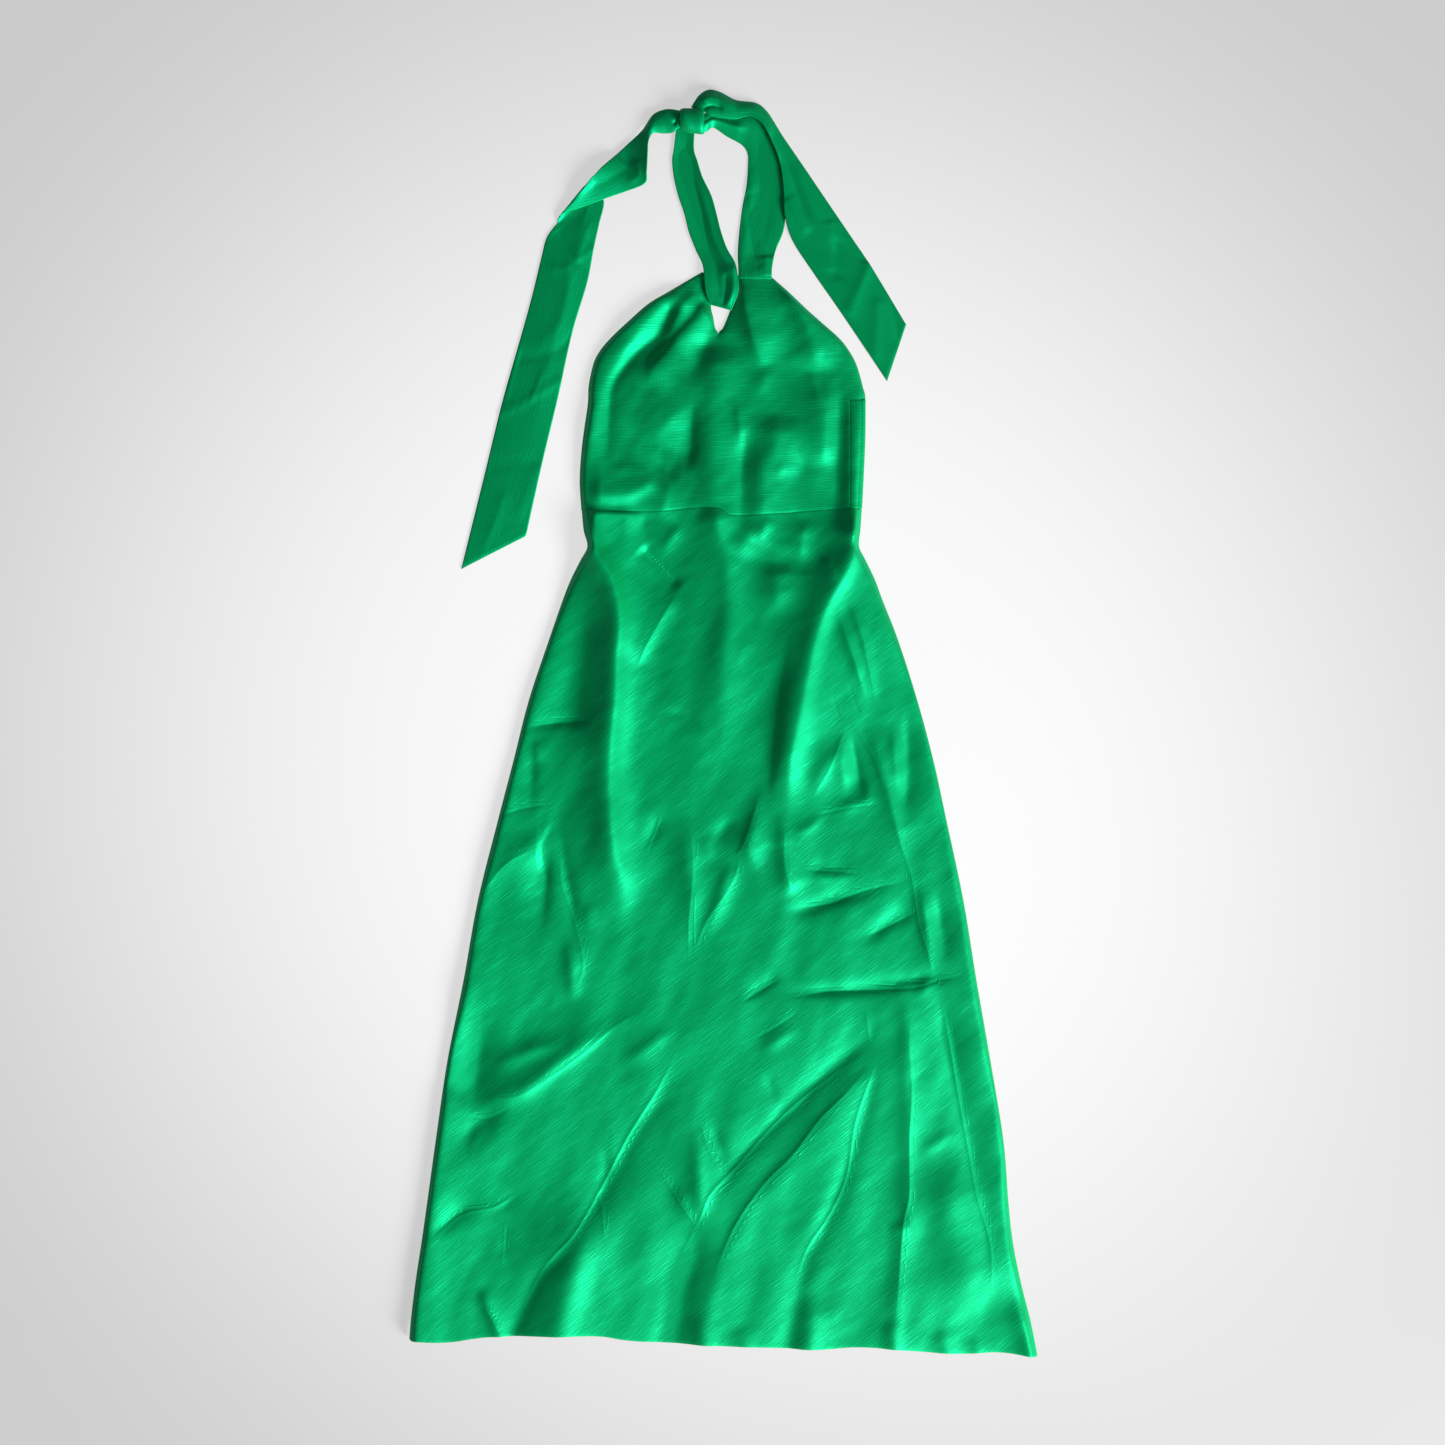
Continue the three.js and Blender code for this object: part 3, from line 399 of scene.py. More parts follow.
# Sharp pressed creases, as the height of their thin line and its path
CREASES = [
    # over the lower skirt
    (0.5, [(171, -374), (121, -407), (65, -454), (10, -515), (-15, -540), (-28, -570), (-60, -635)]),
    (0.6, [(176, -384), (141, -424), (111, -454), (80, -495), (50, -525), (20, -565), (0, -605),
           (-15, -650)]),
    (0.5, [(178, -379), (166, -414), (151, -459), (141, -520), (121, -565), (95, -605), (75, -665)]),
    (0.6, [(-50, -369), (-75, -419), (-110, -475), (-141, -535), (-171, -585), (-206, -625),
           (-241, -691)]),
    (0.6, [(216, -319), (213, -369), (216, -419), (213, -480), (213, -540), (206, -575), (201, -640),
           (196, -701)]),
    (0.6, [(246, -299), (259, -364), (269, -424), (281, -490), (291, -545), (306, -600), (306, -671)]),
    (0.5, [(-341, -600), (-301, -565), (-261, -555), (-231, -535)]),
    (0.4, [(-276, -665), (-256, -701)]),
    (0.3, [(-251, -570), (-254, -625)]),
    (0.3, [(-141, -540), (-136, -595)]),
    (0.4, [(-80, -505), (-40, -565), (-30, -580)]),
    (0.4, [(-28, -454), (-15, -495), (0, -520)]),
    (0.3, [(163, -329), (168, -369)]),
    # across it
    (-0.6, [(60, -319), (116, -309), (171, -307), (221, -304), (246, -296), (281, -289)]),
    (-0.5, [(20, -321), (40, -309), (65, -294)]),
    (-0.4, [(35, -364), (60, -349), (90, -329)]),
    (0.4, [(-276, -429), (-241, -429), (-211, -414), (-161, -379), (-126, -349), (-80, -324)]),
    (-0.4, [(-296, -449), (-271, -454), (-241, -439)]),
    # the right of the skirt
    (-0.5, [(80, -213), (121, -208), (161, -193), (211, -181)]),
    (-0.4, [(90, -168), (125, -171), (161, -173)]),
    (0.5, [(191, -93), (203, -138), (216, -178), (224, -228), (236, -269), (241, -294)]),
    (-0.4, [(161, -248), (191, -233), (221, -218)]),
    (0.4, [(141, -2), (121, -53), (100, -88)]),
    (0.4, [(146, 3), (171, -37), (186, -78)]),
    (-0.4, [(100, -108), (141, -98), (181, -93)]),
    (-0.3, [(124, 32), (135, 1)]),
    (-0.3, [(143, 47), (151, 24), (158, 6)]),
    (0.3, [(70, -118), (70, -163), (80, -198)]),
    (0.3, [(129, 128), (148, 78), (164, 24)]),
    (0.3, [(144, 137), (160, 95), (177, 13)]),
    # its middle and left
    (0.4, [(45, -73), (25, -133), (15, -153)]),
    (0.4, [(20, -148), (10, -183), (-20, -228), (-35, -269)]),
    (0.4, [(-40, -113), (-35, -163), (-40, -228), (-40, -274)]),
    (0.4, [(-71, -103), (-79, -125), (-91, -153)]),
    (0.4, [(-279, -198), (-251, -163), (-216, -143)]),
    (-0.4, [(-261, -108), (-228, -98), (-196, -93)]),
    (-0.4, [(-229, -6), (-188, 0), (-147, 3)]),
    (0.3, [(-186, -143), (-186, -183), (-171, -228), (-161, -279), (-176, -319)]),
    (0.4, [(-102, 57), (-88, 90), (-72, 118), (-53, 151)]),
    (-0.5, [(-92, 196), (-76, 178), (-55, 155)]),
]


CURVE_STEPS = 6


def smooth_curve(points, steps=CURVE_STEPS):
    """Points along a smooth curve through the given ones."""
    given = np.array(points, float)
    padded = np.vstack([2 * given[0] - given[1], given, 2 * given[-1] - given[-2]])
    share = np.linspace(0, 1, steps, endpoint=False)[:, None]
    pieces = []
    for a, b, c, d in zip(padded, padded[1:], padded[2:], padded[3:]):
        bend = (2 * a - 5 * b + 4 * c - d) * share**2 + (3 * b - a - 3 * c + d) * share**3
        pieces.append(0.5 * (2 * b + (c - a) * share + bend))
    pieces.append(given[-1:])
    return np.vstack(pieces)


def smoothstep(low, high, value):
    t = np.clip((value - low) / (high - low), 0, 1)
    return t * t * (3 - 2 * t)


def column_at(table, column, places):
    """A column of a table at places along its first column, on a smooth curve through its rows."""
    curve = smooth_curve(sorted(table))
    return np.interp(places, curve[:, 0], curve[:, column])


FULLNESS = 1.5  # how much fuller the long folds stand than the heights in the tables
SHORT_FULLNESS = 0.7  # the same for the shortest
SHORT_FOLD = 20  # length of the shortest
LONG_FOLD = 110  # from this length on a fold is long
FOLD_FADE = (0.4, 0.4)
FOLD_SOFTNESS = 0.65  # how round a fold's crest is, as a share of its width
FOLD_REACH = 6  # widths, past which a fold's lift is nothing
FOLD_STEPS = 5  # straight steps between the points of its path


def beside_line(path, reach, x, y):
    """The places within reach of a line, how far they lie to its right, and how far along it."""
    line = smooth_curve(path, FOLD_STEPS)
    low = line.min(0) - reach
    high = line.max(0) + reach
    near = np.flatnonzero((x > low[0]) & (x < high[0]) & (y > low[1]) & (y < high[1]))
    beside = np.full(near.size, np.inf)
    along = np.zeros(near.size)
    for i, (start, end) in enumerate(zip(line, line[1:])):
        step = end - start
        t = ((x[near] - start[0]) * step[0] + (y[near] - start[1]) * step[1]) / (step @ step)
        t = np.clip(t, 0, 1)
        dx = x[near] - start[0] - t * step[0]
        dy = y[near] - start[1] - t * step[1]
        here = np.hypot(dx, dy)
        closer = here < np.abs(beside)
        side = np.where(step[0] * dy - step[1] * dx < 0, 1, -1)
        beside = np.where(closer, side * here, beside)
        along = np.where(closer, (i + t) / (len(line) - 1), along)
    return near, beside, along


def end_fade(fade, along):
    """How much of a fold is left at a share of its length."""
    left = np.ones(along.size)
    for length, from_end in zip(fade, (along, 1 - along)):
        if length:
            left *= smoothstep(0, length, from_end)
    return left


def fold_lift(x, y, height, away, toward, path, fade=FOLD_FADE):
    """How far a fold lifts the cloth at each place."""
    near, beside, along = beside_line(path, FOLD_REACH * max(np.max(away), np.max(toward)), x, y)
    path = np.array(path, float)
    whole = path[-1] - path[0]
    lit_side = 1 if whole[0] + whole[1] > 0 else -1
    toward = np.interp(along, (0, 1), np.broadcast_to(toward, 2))
    away = np.interp(along, (0, 1), np.broadcast_to(away, 2))
    t = beside / np.where(beside * lit_side > 0, toward, away)
    across = np.exp(FOLD_SOFTNESS - np.hypot(t, FOLD_SOFTNESS))
    length = np.linalg.norm(np.diff(path, axis=0), axis=1).sum()
    share = smoothstep(SHORT_FOLD, LONG_FOLD, length)
    fullness = SHORT_FULLNESS + (FULLNESS - SHORT_FULLNESS) * share
    lift = np.zeros(x.size)
    lift[near] = fullness * height * across * end_fade(fade, along)
    return lift


CREASE_REACH = 7  # past this a pressed line isn't seen
CREASE_HOLD = 0.5  # share of that reach over which it keeps its height
CREASE_FADE = (0.25, 0.25)


def add_creases(grid, x, y):
    """Stores how far each place lies beside the nearest crease, and how high that stands there."""
    beside = np.full(x.size, float(CREASE_REACH))
    height = np.zeros(x.size)
    for most, path in CREASES:
        near, from_line, along = beside_line(path, CREASE_REACH, x, y)
        beyond = smoothstep(CREASE_HOLD, 1, np.abs(from_line) / CREASE_REACH)
        left = end_fade(CREASE_FADE, along) * (1 - beyond)
        closer = np.abs(from_line) < np.abs(beside[near])
        beside[near] = np.where(closer, from_line, beside[near])
        height[near] = np.where(closer, most * left, height[near])
    distance_layer = grid.verts.layers.float.new("Beside crease")
    height_layer = grid.verts.layers.float.new("Crease height")
    for vertex, distance, rise in zip(grid.verts, beside, height):
        vertex[distance_layer] = distance * MM
        vertex[height_layer] = rise * MM


def turned(x, y, turn):
    """How far places lie along a direction and across it."""
    return x * math.cos(turn) + y * math.sin(turn), y * math.cos(turn) - x * math.sin(turn)


def rumple(x, y, size, turn, stretch, seed):
    """Smooth uneven waves of about one size, longer along one direction, from -1 to 1."""
    along, across = turned(x, y, turn)
    places = zip(along / (size * stretch), across / size)
    return np.array([noise.noise((a, b, seed)) for a, b in places])


def sides_at(x, y):
    """How far a place lies inside the left and the right side of the dress."""
    left = x - column_at(LEFT_OUTLINE, 1, y)
    right = column_at(RIGHT_OUTLINE, 1, y) - x
    return np.maximum(left, 0), np.maximum(right, 0)


def from_outline(x, y):
    return np.minimum(*sides_at(x, y))


def from_keyhole(x, y):
    level = np.maximum(y, KEYHOLE_FOOT)
    left = column_at(KEYHOLE_LEFT, 1, level) - x
    right = x - column_at(KEYHOLE_RIGHT, 1, level)
    beside = np.maximum(np.maximum(left, right), 0)
    return np.hypot(beside, level - y)


def front_height(x, y, from_edge):
    """The middle of the front's cloth above the floor, this far from its nearest free edge."""
    past_back = smoothstep(BACK_TOP + STEP_START, BACK_TOP + STEP_END, y)
    rest = FRONT_LIE - (FRONT_LIE - BACK_LIE) * past_back
    hold = 1 - np.exp(-((from_edge / FOLD_HOLD) ** 2))
    lift = PLATEAU * (1 - np.exp(-from_edge / PLATEAU_REACH))
    for side, from_side in zip((1, 3), sides_at(x, y)):
        height = column_at(CROWNS, side, y)
        reach = column_at(CROWNS, side + 1, y)
        lift += height * (1 - np.exp(-from_edge / CROWN_RISE)) * np.exp(-from_side / reach)
    folds = sum(fold_lift(x, y, *shape) for shape in FRONT_FOLDS)
    for height, *shape in RUMPLES:
        folds += height * rumple(x, y, *shape)
    lift += hold * folds
    lift *= 1 - NECK_SHARE * smoothstep(NECK_START, NECKLINE, y)
    eased = LOWEST_LIFT * np.exp((lift - LOWEST_LIFT) / LOWEST_EASE)
    lift = np.where(lift > LOWEST_LIFT, lift, eased)
    return rest + lift


def cloth_grid(columns, rows):
    """A flat grid, and where its points lie from 0 to 1 in x and y."""
    grid = bmesh.new()
    bmesh.ops.create_grid(grid, x_segments=columns, y_segments=rows, size=0.5)
    bmesh.ops.translate(grid, verts=grid.verts, vec=(0.5, 0.5, 0))
    places = np.array([vertex.co for vertex in grid.verts])
    return grid, places[:, 0], places[:, 1]


def move_points(grid, x, y, z):
    for vertex, place in zip(grid.verts, np.column_stack([x, y, z]) * MM):
        vertex.co = place


def add_thread_map(grid, along, across):
    """A UV map in metres whose first axis runs along the threads."""
    layer = grid.loops.layers.uv.new("Thread")
    for face in grid.faces:
        for loop in face.loops:
            i = loop.vert.index
            loop[layer].uv = (along[i] * MM, across[i] * MM)


def link_object(name, data):
    made = bpy.data.objects.new(name, data)
    bpy.context.scene.collection.objects.link(made)
    return made


def link_grid(grid, name):
    mesh = bpy.data.meshes.new(name)
    grid.to_mesh(mesh)
    grid.free()
    return link_object(name, mesh)


def to_piece(grid, node, shell, material):
    """A finished piece of cloth from its grid, with its wall. It replaces this node."""
    piece = link_grid(grid, node + "_cloth")
    faces = piece.data.polygons
    faces.foreach_set("use_smooth", [True] * len(faces))
    wall = piece.modifiers.new("Wall", "SOLIDIFY")
    wall.thickness = shell * MM
    wall.offset = 0
    wall.use_even_offset = False
    normals = piece.modifiers.new("Flat to the edge", "WEIGHTED_NORMAL")
    normals.mode = "FACE_AREA"
    normals.weight = 90
    piece.data.materials.append(material)
    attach(piece, "root")
    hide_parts(node)
    return piece


SKIRT_COLUMNS = 188
SKIRT_ROWS = 256
SKIRT_BACK_GRID = (60, 90)  # columns and rows
SKIRT_ROW_CROWDING = 1.15  # rows stand closer together near the waist
SIDE_CROWDING = 0.05  # columns stand closer together at the side edges


def skirt_plan(u, v):
    """Places on a skirt panel, across from left to right and down from waist to hem."""
    across = u - SIDE_CROWDING * np.sin(2 * math.pi * u)
    waist_x = SEAM_LEFT + (SEAM_END - SEAM_LEFT) * across
    hem_x = HEM_LEFT + (HEM_RIGHT - HEM_LEFT) * across
    waist_y = column_at(WAIST_SEAM, 1, waist_x)
    hem_y = column_at(HEM, 1, hem_x)
    y = waist_y + (hem_y - waist_y) * v**SKIRT_ROW_CROWDING
    left = column_at(SKIRT_SIDES, 1, y)
    right = column_at(SKIRT_SIDES, 2, y)
    x = left + (right - left) * across
    return x, y


SEAM_DIP = 0.25  # the front dips to its seams
SEAM_DIP_REACH = 2.2


def seam_dip(from_seam):
    return SEAM_DIP * np.exp(-from_seam / SEAM_DIP_REACH)


def make_skirt_front(material):
    grid, u, v = cloth_grid(SKIRT_COLUMNS, SKIRT_ROWS)
    x, y = skirt_plan(u, 1 - v)
    z = front_height(x, y, from_outline(x, y))
    z -= seam_dip(column_at(WAIST_SEAM, 1, x) - y)
    move_points(grid, x, y, z)
    add_thread_map(grid, *turned(x, y, BIAS))
    add_creases(grid, x, y)
    piece = to_piece(grid, "skirt_front", PANEL_SHELL, material)


BACK_RUMPLE = 0.25  # height of the low waves in the skirt's back
BACK_RUMPLE_SIZE = 60
BACK_RUMPLE_START = 10  # they grow over this from its edge


def make_skirt_back(material):
    grid, u, v = cloth_grid(*SKIRT_BACK_GRID)
    x, y = skirt_plan(u, 1 - v)
    grown = 1 - np.exp(-from_outline(x, y) / BACK_RUMPLE_START)
    z = BACK_LIE + BACK_RUMPLE * grown * (1 + rumple(x, y, BACK_RUMPLE_SIZE, BIAS, 2, 5.0))
    move_points(grid, x, y, z)
    add_thread_map(grid, *turned(x, y, -BIAS))
    piece = to_piece(grid, "skirt_back", PANEL_SHELL, material)


LOBE_COLUMNS = 64
BODICE_ROWS = 120
EDGE_STEPS = 8
SEAM_BLEND = 0.85  # the bodice's rows follow the waist seam's bends from this share of the way down


def bodice_height(x, y):
    """The middle of the bodice's cloth on top, also where the back turns up onto it."""
    from_edge = np.minimum(from_outline(x, y), from_keyhole(x, y) + KEYHOLE_LIFT)
    return front_height(x, y, from_edge)


def seam_corner(x):
    return x, float(column_at(WAIST_SEAM, 1, x))


def bodice_edges(v):
    """The four edges of the bodice's lobes at shares of the way down it."""
    corners = [seam_corner(x) for x in (SEAM_LEFT, SEAM_MIDDLE, SEAM_MIDDLE, SEAM_RIGHT)]
    sections = np.array([*BODICE_SECTIONS, np.ravel(corners)])
    curve = smooth_curve(sections, EDGE_STEPS)
    places = np.linspace(0, 1, len(curve))
    columns = [np.interp(v, places, column) for column in curve.T]
    edges = list(zip(columns[::2], columns[1::2]))
    places = np.linspace(0, 1, len(sections))
    right_x, right_y = (np.interp(v, places, column) for column in sections.T[6:])
    outline_x = column_at(RIGHT_OUTLINE, 1, right_y)
    edges[3] = np.where(right_y > BACK_TOP + 1, outline_x, right_x), right_y
    below_keyhole = v >= places[KEYHOLE_SECTION]
    edges[2] = [np.where(below_keyhole, a, b) for a, b in zip(edges[1], edges[2])]
    return edges


def make_bodice_front(material):
    """Two lobes, side by side, that meet below the keyhole's foot."""
    columns = 2 * LOBE_COLUMNS + 1
    grid, u, v = cloth_grid(columns, BODICE_ROWS)
    v = 1 - v
    column = np.rint(u * columns)
    on_left = column <= LOBE_COLUMNS
    across = np.where(on_left, column, column - LOBE_COLUMNS - 1) / LOBE_COLUMNS
    left, inner_left, inner_right, right = bodice_edges(v)
    x, y = (
        np.where(on_left, a + (b - a) * across, c + (d - c) * across)
        for a, b, c, d in zip(left, inner_left, inner_right, right)
    )
    seam_y = column_at(WAIST_SEAM, 1, x)
    corners = [seam_corner(place) for place in (SEAM_LEFT, SEAM_MIDDLE, SEAM_RIGHT)]
    straight_y = np.interp(x, *zip(*corners))
    y += (seam_y - straight_y) * smoothstep(SEAM_BLEND, 1, v)
    from_side_seam = np.hypot(np.maximum(SEAM_RIGHT - x, 0), np.maximum(y - BACK_TOP, 0))
    z = bodice_height(x, y) - seam_dip(y - seam_y) - seam_dip(from_side_seam)
    move_points(grid, x, y, z)
    add_thread_map(grid, *turned(x, y, BODICE_GRAIN))
    beside_gap = {LOBE_COLUMNS, LOBE_COLUMNS + 1}
    gap = [
        face
        for face in grid.faces
        if {int(column[vertex.index]) for vertex in face.verts} == beside_gap
    ]
    bmesh.ops.delete(grid, geom=gap, context="FACES")
    bmesh.ops.remove_doubles(grid, verts=grid.verts, dist=WELD)
    piece = to_piece(grid, "bodice_front", PANEL_SHELL, material)


BODICE_BACK_GRID = (120, 60)
ROLL_DEPTH = 5  # the bodice's back starts to turn up this far in from its right side
BACK_FLAT_SHARE = 0.72  # share of its columns that lie flat
BACK_ROUND_SHARE = 0.9  # share past which they lie on top


def make_bodice_back(material):
    """The low back lies flat, turns up round the right side and ends on top, at the side seam."""
    grid, u, v = cloth_grid(*BODICE_BACK_GRID)
    seam_y = column_at(WAIST_SEAM, 1, SEAM_RIGHT)
    y = seam_y + (BACK_TOP - seam_y) * v
    left = column_at(BACK_SIDES, 1, y)
    right = column_at(BACK_SIDES, 2, y)
    turn_x = right - ROLL_DEPTH
    rise = bodice_height(turn_x, y) - BACK_LIE
    angle = math.pi * np.clip((u - BACK_FLAT_SHARE) / (BACK_ROUND_SHARE - BACK_FLAT_SHARE), 0, 1)
    flat_x = left + (turn_x - left) * np.clip(u / BACK_FLAT_SHARE, 0, 1)
    flat_x += ROLL_DEPTH * np.sin(angle)
    top_x = turn_x + (SEAM_RIGHT - turn_x) * (u - BACK_ROUND_SHARE) / (1 - BACK_ROUND_SHARE)
    on_top = u > BACK_ROUND_SHARE
    x = np.where(on_top, top_x, flat_x)
    z = np.where(on_top, bodice_height(top_x, y), BACK_LIE + rise * (1 - np.cos(angle)) / 2)
    from_side_seam = np.minimum(np.abs(x - SEAM_RIGHT), BACK_TOP - y)
    z -= seam_dip(from_side_seam) * on_top
    move_points(grid, x, y, z)
    add_thread_map(grid, *turned(x, y, BODICE_GRAIN))
    piece = to_piece(grid, "bodice_back", PANEL_SHELL, material)


STRAP_RISE = 35  # a strap bends up onto the bodice over this, down to the neckline
STRAP_EASE = 2.4  # how softly it bends
RIBBON_COLUMNS = 36
ROWS_PER_SECTION = 14
RIBBON_SOFTNESS = 0.4  # how round a fold in a strap or tie is
RIBBON_FADE = (0.2, 0.2)


def ribbon_fold(height, reach, path, x, y):
    """How far a fold in a strap or tie lifts it at each place."""
    near, beside, along = beside_line(path, FOLD_REACH * reach, x, y)
    lift = np.zeros(x.size)
    across = np.exp(RIBBON_SOFTNESS - np.hypot(beside / reach, RIBBON_SOFTNESS))
    lift[near] = height * across * end_fade(RIBBON_FADE, along)
    return lift


def make_ribbon(node, sections, folds, material, over_bodice=None):
    """A strap or tie from its sections and folds. It rises this far over_bodice where it lies there."""
    curve = smooth_curve(sections, ROWS_PER_SECTION)
    edge_a, edge_b, bows = curve[:, :3], curve[:, 3:6], curve[:, 6]
    rows = len(edge_a) - 1
    grid, u, v = cloth_grid(RIBBON_COLUMNS, rows)
    row = np.rint(v * rows).astype(int)
    points = edge_a[row] + (edge_b[row] - edge_a[row]) * u[:, None]
    points[:, 2] += bows[row] * 4 * u * (1 - u)
    widths = np.linalg.norm(edge_b - edge_a, axis=1)
    middle = (edge_a + edge_b) / 2
    lengths = np.concatenate([[0], np.cumsum(np.linalg.norm(np.diff(middle, axis=0), axis=1))])
    rows_down = np.linspace(0, 1, len(lengths))
    along, across = lengths[row], (u - 0.5) * widths[row]
    for height, reach, line in folds:
        down, places = np.transpose(line)
        path = np.column_stack([
            np.interp(down, rows_down, lengths),
            (places - 0.5) * np.interp(down, rows_down, widths),
        ])
        points[:, 2] += ribbon_fold(height, reach, path, along, across)
    for height, reach, path in TIE_CREASES:
        points[:, 2] += ribbon_fold(height, reach, path, points[:, 0], points[:, 1])
    points[:, 2] = np.maximum(points[:, 2], TIE_SHELL / 2 + FLOOR_GAP)
    if over_bodice is not None:
        x, y = points[:, 0], points[:, 1]
        below = bodice_height(x, np.minimum(y, NECKLINE)) + over_bodice
        near = 1 - smoothstep(NECKLINE, NECKLINE + STRAP_RISE, y)
        apart = points[:, 2] - below * near
        points[:, 2] -= (apart - np.hypot(apart, STRAP_EASE * near)) / 2
    move_points(grid, *points.T)
    add_thread_map(grid, along, across)
    bmesh.ops.recalc_face_normals(grid, faces=grid.faces)
    piece = to_piece(grid, node, TIE_SHELL, material)


KNOT_COLUMNS = 20
KNOT_ROWS = 72


def make_knot(material):
    """A band of strap wound round the strap that it holds."""
    grid, u, v = cloth_grid(KNOT_COLUMNS, KNOT_ROWS)
    angle = 2 * math.pi * v
    left = np.array(KNOT_LEFT, float)
    right = np.array(KNOT_RIGHT, float)
    rim = left + (right - left) * u[:, None]
    bulge = 1 + KNOT_BULGE * 4 * u * (1 - u)
    wave = u * math.pi * GATHER_WAVES + GATHER_SWAY * np.cos(angle) + GATHER_START
    gathers = KNOT_GATHER * np.sin(wave)
    turned_in = KNOT_TURN_IN * np.abs(2 * u - 1) ** 5
    half = rim[:, 2] * bulge + gathers - turned_in
    depth = (KNOT_DEPTH - TIE_SHELL / 2) * bulge / (1 + KNOT_BULGE)
    depth = depth + gathers * GATHER_TOP - turned_in
    y = rim[:, 1] + half * np.cos(angle)
    z = np.maximum(KNOT_DEPTH + depth * np.sin(angle), TIE_SHELL / 2 + FLOOR_GAP)
    move_points(grid, rim[:, 0], y, z)
    add_thread_map(grid, angle * KNOT_RADIUS, (u - 0.5) * KNOT_WIDTH)
    bmesh.ops.remove_doubles(grid, verts=grid.verts, dist=WELD)
    bmesh.ops.recalc_face_normals(grid, faces=grid.faces)
    piece = to_piece(grid, "neck_knot", TIE_SHELL, material)


def new_group(name, inputs, outputs):
    """A group of shader nodes that gives floats, and the nodes of its inputs and outputs."""
    group = bpy.data.node_groups.new(name, "ShaderNodeTree")
    for socket, kind in inputs:
        group.interface.new_socket(socket, in_out="INPUT", socket_type=kind)
    for socket in outputs:
        group.interface.new_socket(socket, in_out="OUTPUT", socket_type="NodeSocketFloat")
    return group, group.nodes.new("NodeGroupInput"), group.nodes.new("NodeGroupOutput")


def set_inputs(tree, node, inputs):
    """Each input is a value or another node's output."""
    for socket, value in inputs.items():
        if isinstance(value, bpy.types.NodeSocket):
            tree.links.new(value, node.inputs[socket])
        else:
            node.inputs[socket].default_value = value


def add_node(tree, kind, inputs=None, **settings):
    made = tree.nodes.new(kind)
    for name, value in settings.items():
        setattr(made, name, value)
    set_inputs(tree, made, inputs or {})
    return made


def math_node(tree, first, second, operation="ADD"):
    return add_node(tree, "ShaderNodeMath", {0: first, 1: second}, operation=operation).outputs[0]


def ranged(tree, value, low, high, to_low, to_high, **settings):
    """A value moved from the range low to high into the range to_low to to_high."""
    ends = {"From Min": low, "From Max": high, "To Min": to_low, "To Max": to_high}
    return add_node(tree, "ShaderNodeMapRange", {"Value": value, **ends}, **settings).outputs[0]


def make_slub_weave():
    """Uneven slubbed threads. The vector is a thread map in metres."""
    inputs = [("Thread map", "NodeSocketVector"), ("Slub amount", "NodeSocketFloat")]
    group, start, end = new_group("Slub weave", inputs, ["Tone", "Height"])

    def streaks(along, across, detail, low=0.3, high=0.7, to_low=-1.0):
        """Noise with this many spots in a metre along the threads and across them."""
        size = {"Vector": start.outputs[0], "Scale": (along, across, 1)}
        stretched = add_node(group, "ShaderNodeMapping", size)
        spots = {"Vector": stretched.outputs[0], "Scale": 1.0, "Detail": detail}
        texture = add_node(group, "ShaderNodeTexNoise", spots)
        return ranged(group, texture.outputs["Fac"], low, high, to_low, 1.0)

    def added(*parts):
        """The sum of the parts, each with its weight."""
        weighted = [math_node(group, part, weight, "MULTIPLY") for part, weight in parts]
        total = weighted[0]
        for part in weighted[1:]:
            total = math_node(group, total, part)
        return total

    slubs = streaks(36, 600, 2.0, 0.52, 0.74, 0.0)
    fine = streaks(70, 900, 1.0)
    cross = streaks(520, 30, 1.0)
    clouds = streaks(9, 14, 2.0)
    slubbed = math_node(group, slubs, start.outputs[1], "MULTIPLY")
    tone = added((slubbed, 0.35), (fine, 0.1), (cross, 0.08), (clouds, 0.1))
    height = added((slubbed, 0.8), (fine, 0.25), (cross, 0.12))
    group.links.new(math_node(group, tone, 0.4), end.inputs[0])
    group.links.new(height, end.inputs[1])
    return group


CREASE_WIDTH = 0.0022  # metres


def make_crease():
    """The height of a pressed line from how far a place lies beside it."""
    inputs = [("Beside crease", "NodeSocketFloat"), ("Crease height", "NodeSocketFloat")]
    group, start, end = new_group("Pressed crease", inputs, ["Height"])
    widths = math_node(group, start.outputs[0], CREASE_WIDTH, "DIVIDE")
    squared = math_node(group, widths, widths, "MULTIPLY")
    falling = math_node(group, squared, 1.0)
    group.links.new(math_node(group, start.outputs[1], falling, "DIVIDE"), end.inputs[0])
    return group


# A satin's deep and bright green. The ties' pair is the panels' satin painted darker, as painted shade.
PANEL_GREENS = ((0.0, 0.108, 0.019), (0.0, 0.205, 0.046))
TIE_GREENS_SHADED = ((0.0, 0.088, 0.015), (0.0, 0.16, 0.035))
ROUGHEST = 0.6
SMOOTHEST = 0.48
THREAD_HEIGHT = 0.0004  # metres
THREAD_RELIEF = 0.35


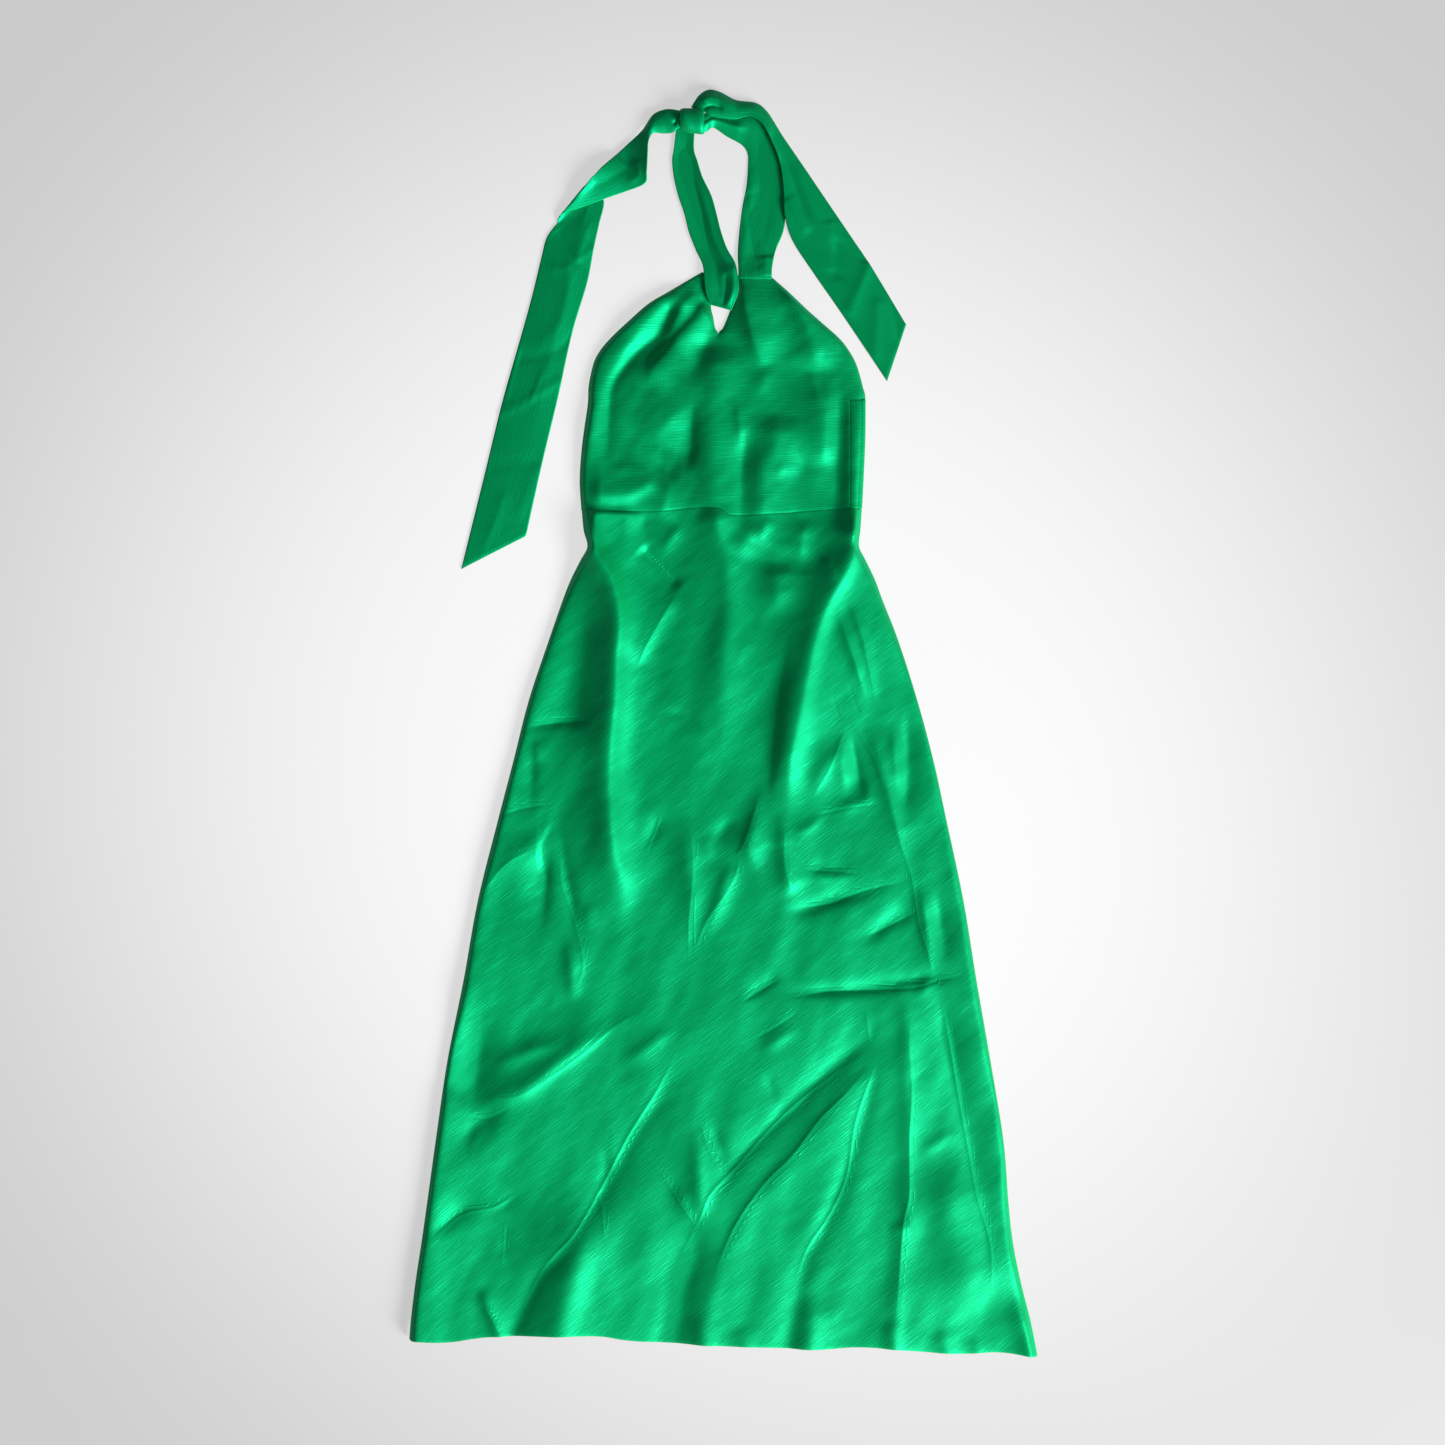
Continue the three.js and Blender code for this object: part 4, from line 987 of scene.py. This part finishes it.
def make_satin(name, weave, crease, greens, slub_amount):
    """Slubbed satin: green threads with a green sheen."""
    material = bpy.data.materials.new(name)
    material.use_nodes = True
    tree = material.node_tree
    tree.nodes.clear()
    thread = add_node(tree, "ShaderNodeUVMap", uv_map="Thread")
    own = {"Thread map": thread.outputs[0], "Slub amount": slub_amount}
    threads = add_node(tree, "ShaderNodeGroup", own, node_tree=weave)
    deep, bright = greens
    mixed = {"Factor": threads.outputs["Tone"], 6: (*deep, 1), 7: (*bright, 1)}
    color = add_node(tree, "ShaderNodeMix", mixed, data_type="RGBA", clamp_factor=True)
    worn = ranged(tree, threads.outputs["Tone"], 0.0, 1.0, ROUGHEST, SMOOTHEST)
    # seen along the cloth, its loose fibres leave little gloss
    fibres = add_node(tree, "ShaderNodeLayerWeight", {"Blend": 0.5})
    matt = ranged(tree, fibres.outputs["Facing"], 0.3, 0.7, 0.4, 1.0)
    creases = add_node(tree, "ShaderNodeGroup", node_tree=crease)
    for layer in ("Beside crease", "Crease height"):
        stored = add_node(tree, "ShaderNodeAttribute", attribute_name=layer)
        tree.links.new(stored.outputs["Fac"], creases.inputs[layer])
    pressed = add_node(tree, "ShaderNodeBump", {"Height": creases.outputs["Height"], "Distance": 1.0})
    relief = {
        "Height": threads.outputs["Height"],
        "Strength": THREAD_RELIEF,
        "Distance": THREAD_HEIGHT,
        "Normal": pressed.outputs[0],
    }
    bump = add_node(tree, "ShaderNodeBump", relief)
    look = {
        "Base Color": color.outputs[2],
        "Roughness": math_node(tree, worn, matt, "MAXIMUM"),
        "Normal": bump.outputs[0],
        "IOR": 2.3,
        "Specular Tint": (0.0, 1.0, 0.5, 1),
        "Sheen Weight": 0.12,
        "Sheen Roughness": 0.4,
        "Sheen Tint": (0.0, 1.0, 0.45, 1),
    }
    surface = add_node(tree, "ShaderNodeBsdfPrincipled", look)
    add_node(tree, "ShaderNodeOutputMaterial", {"Surface": surface.outputs[0]})
    return material


FLOOR_SIDE = 8000  # millimetres
FLOOR_PAINT = 0.17  # how much of the light the floor throws back
FLOOR_GLOW = 0.68  # the floor gives off light as well, which keeps the shadows faint
# A painted pool of light: the floor's colour and glow are brightest up to the first distance in metres.
# From the second on they keep this share.
LIGHT_POOL_FULL = 0.25
LIGHT_POOL_EDGE = 1.15
LIGHT_POOL_EDGE_SHARE = 0.66


def make_floor():
    grid, u, v = cloth_grid(1, 1)
    move_points(grid, (u - 0.5) * FLOOR_SIDE, (v - 0.5) * FLOOR_SIDE, 0 * u)
    floor = link_grid(grid, "floor")
    material = bpy.data.materials.new("pale floor")
    material.use_nodes = True
    tree = material.node_tree
    place = add_node(tree, "ShaderNodeTexCoord")
    reach = add_node(tree, "ShaderNodeVectorMath", {0: place.outputs["Object"]}, operation="LENGTH")
    away = reach.outputs["Value"]
    soft = {"interpolation_type": "SMOOTHSTEP"}
    # painted pool of light: the floor's colour and glow are brightest near its middle and fall off
    # outwards
    pale = ranged(tree, away, LIGHT_POOL_FULL, LIGHT_POOL_EDGE, 1.0, LIGHT_POOL_EDGE_SHARE, **soft)
    look = {
        "Roughness": 0.9,
        "Specular IOR Level": 0.1,
        "Base Color": math_node(tree, pale, FLOOR_PAINT, "MULTIPLY"),
        "Emission Color": (1, 1, 1, 1),
        "Emission Strength": math_node(tree, pale, FLOOR_GLOW, "MULTIPLY"),
    }
    set_inputs(tree, tree.nodes["Principled BSDF"], look)
    floor.data.materials.append(material)


KEY_FROM = (0.66, -0.62, 0.42)  # the direction that the main light comes from
KEY_ANGLE = 22  # degrees across, which softens its shadows
KEY_STRENGTH = 6.9
FILL_PLACE = (1.3, -1.5, 0.9)  # metres
FILL_AIM = (0.1, -0.4, 0)
FILL_SIDE = 0.9
FILL_POWER = 53
SKY_STRENGTH = 0.2


def add_key_light():
    light = bpy.data.lights.new("key", "SUN")
    light.energy = KEY_STRENGTH
    light.angle = math.radians(KEY_ANGLE)
    sun = link_object("key", light)
    sun.rotation_euler = Vector(KEY_FROM).to_track_quat("Z", "Y").to_euler()


def add_fill_light():
    light = bpy.data.lights.new("lower right", "AREA")
    light.shape = "SQUARE"
    light.size = FILL_SIDE
    light.energy = FILL_POWER
    lamp = link_object("lower right", light)
    lamp.location = FILL_PLACE
    lamp.rotation_euler = (Vector(FILL_AIM) - Vector(FILL_PLACE)).to_track_quat("-Z", "Y").to_euler()


FRAME_WIDTH = 1.66175  # metres of floor across the picture
CAMERA_PLACE = (-0.00115, 0.0006, 3.2)
SENSOR = 36.0


def add_camera():
    camera = bpy.data.cameras.new("camera")
    camera.sensor_width = SENSOR
    camera.sensor_height = SENSOR
    camera.lens = SENSOR * CAMERA_PLACE[2] / FRAME_WIDTH
    eye = link_object("camera", camera)
    eye.location = CAMERA_PLACE
    bpy.context.scene.camera = eye


def set_world():
    world = bpy.data.worlds.new("studio")
    world.use_nodes = True
    tree = world.node_tree
    set_inputs(tree, tree.nodes["Background"], {"Color": (1, 1, 1, 1), "Strength": SKY_STRENGTH})
    bpy.context.scene.world = world
    bpy.context.scene.view_settings.view_transform = "Standard"


add_camera()
set_world()
make_floor()
add_key_light()
add_fill_light()

weave = make_slub_weave()
crease = make_crease()
front_satin = make_satin("front satin", weave, crease, PANEL_GREENS, 1.0)
back_satin = make_satin("back satin", weave, crease, PANEL_GREENS, 0.8)
# the ties' satin is the panels' satin painted darker, as painted shade
tie_satin_shaded = make_satin("tie satin", weave, crease, TIE_GREENS_SHADED, 0.9)

make_skirt_back(back_satin)
make_bodice_back(back_satin)
make_skirt_front(front_satin)
make_bodice_front(front_satin)
make_ribbon("halter_strap_left", LEFT_STRAP, LEFT_STRAP_FOLDS, tie_satin_shaded, 1)
make_ribbon("halter_strap_right", RIGHT_STRAP, RIGHT_STRAP_FOLDS, tie_satin_shaded, -0.1)
make_knot(tie_satin_shaded)
make_ribbon("tie_end_left", LEFT_TIE, LEFT_TIE_FOLDS, tie_satin_shaded)
make_ribbon("tie_end_right", RIGHT_TIE, RIGHT_TIE_FOLDS, tie_satin_shaded)
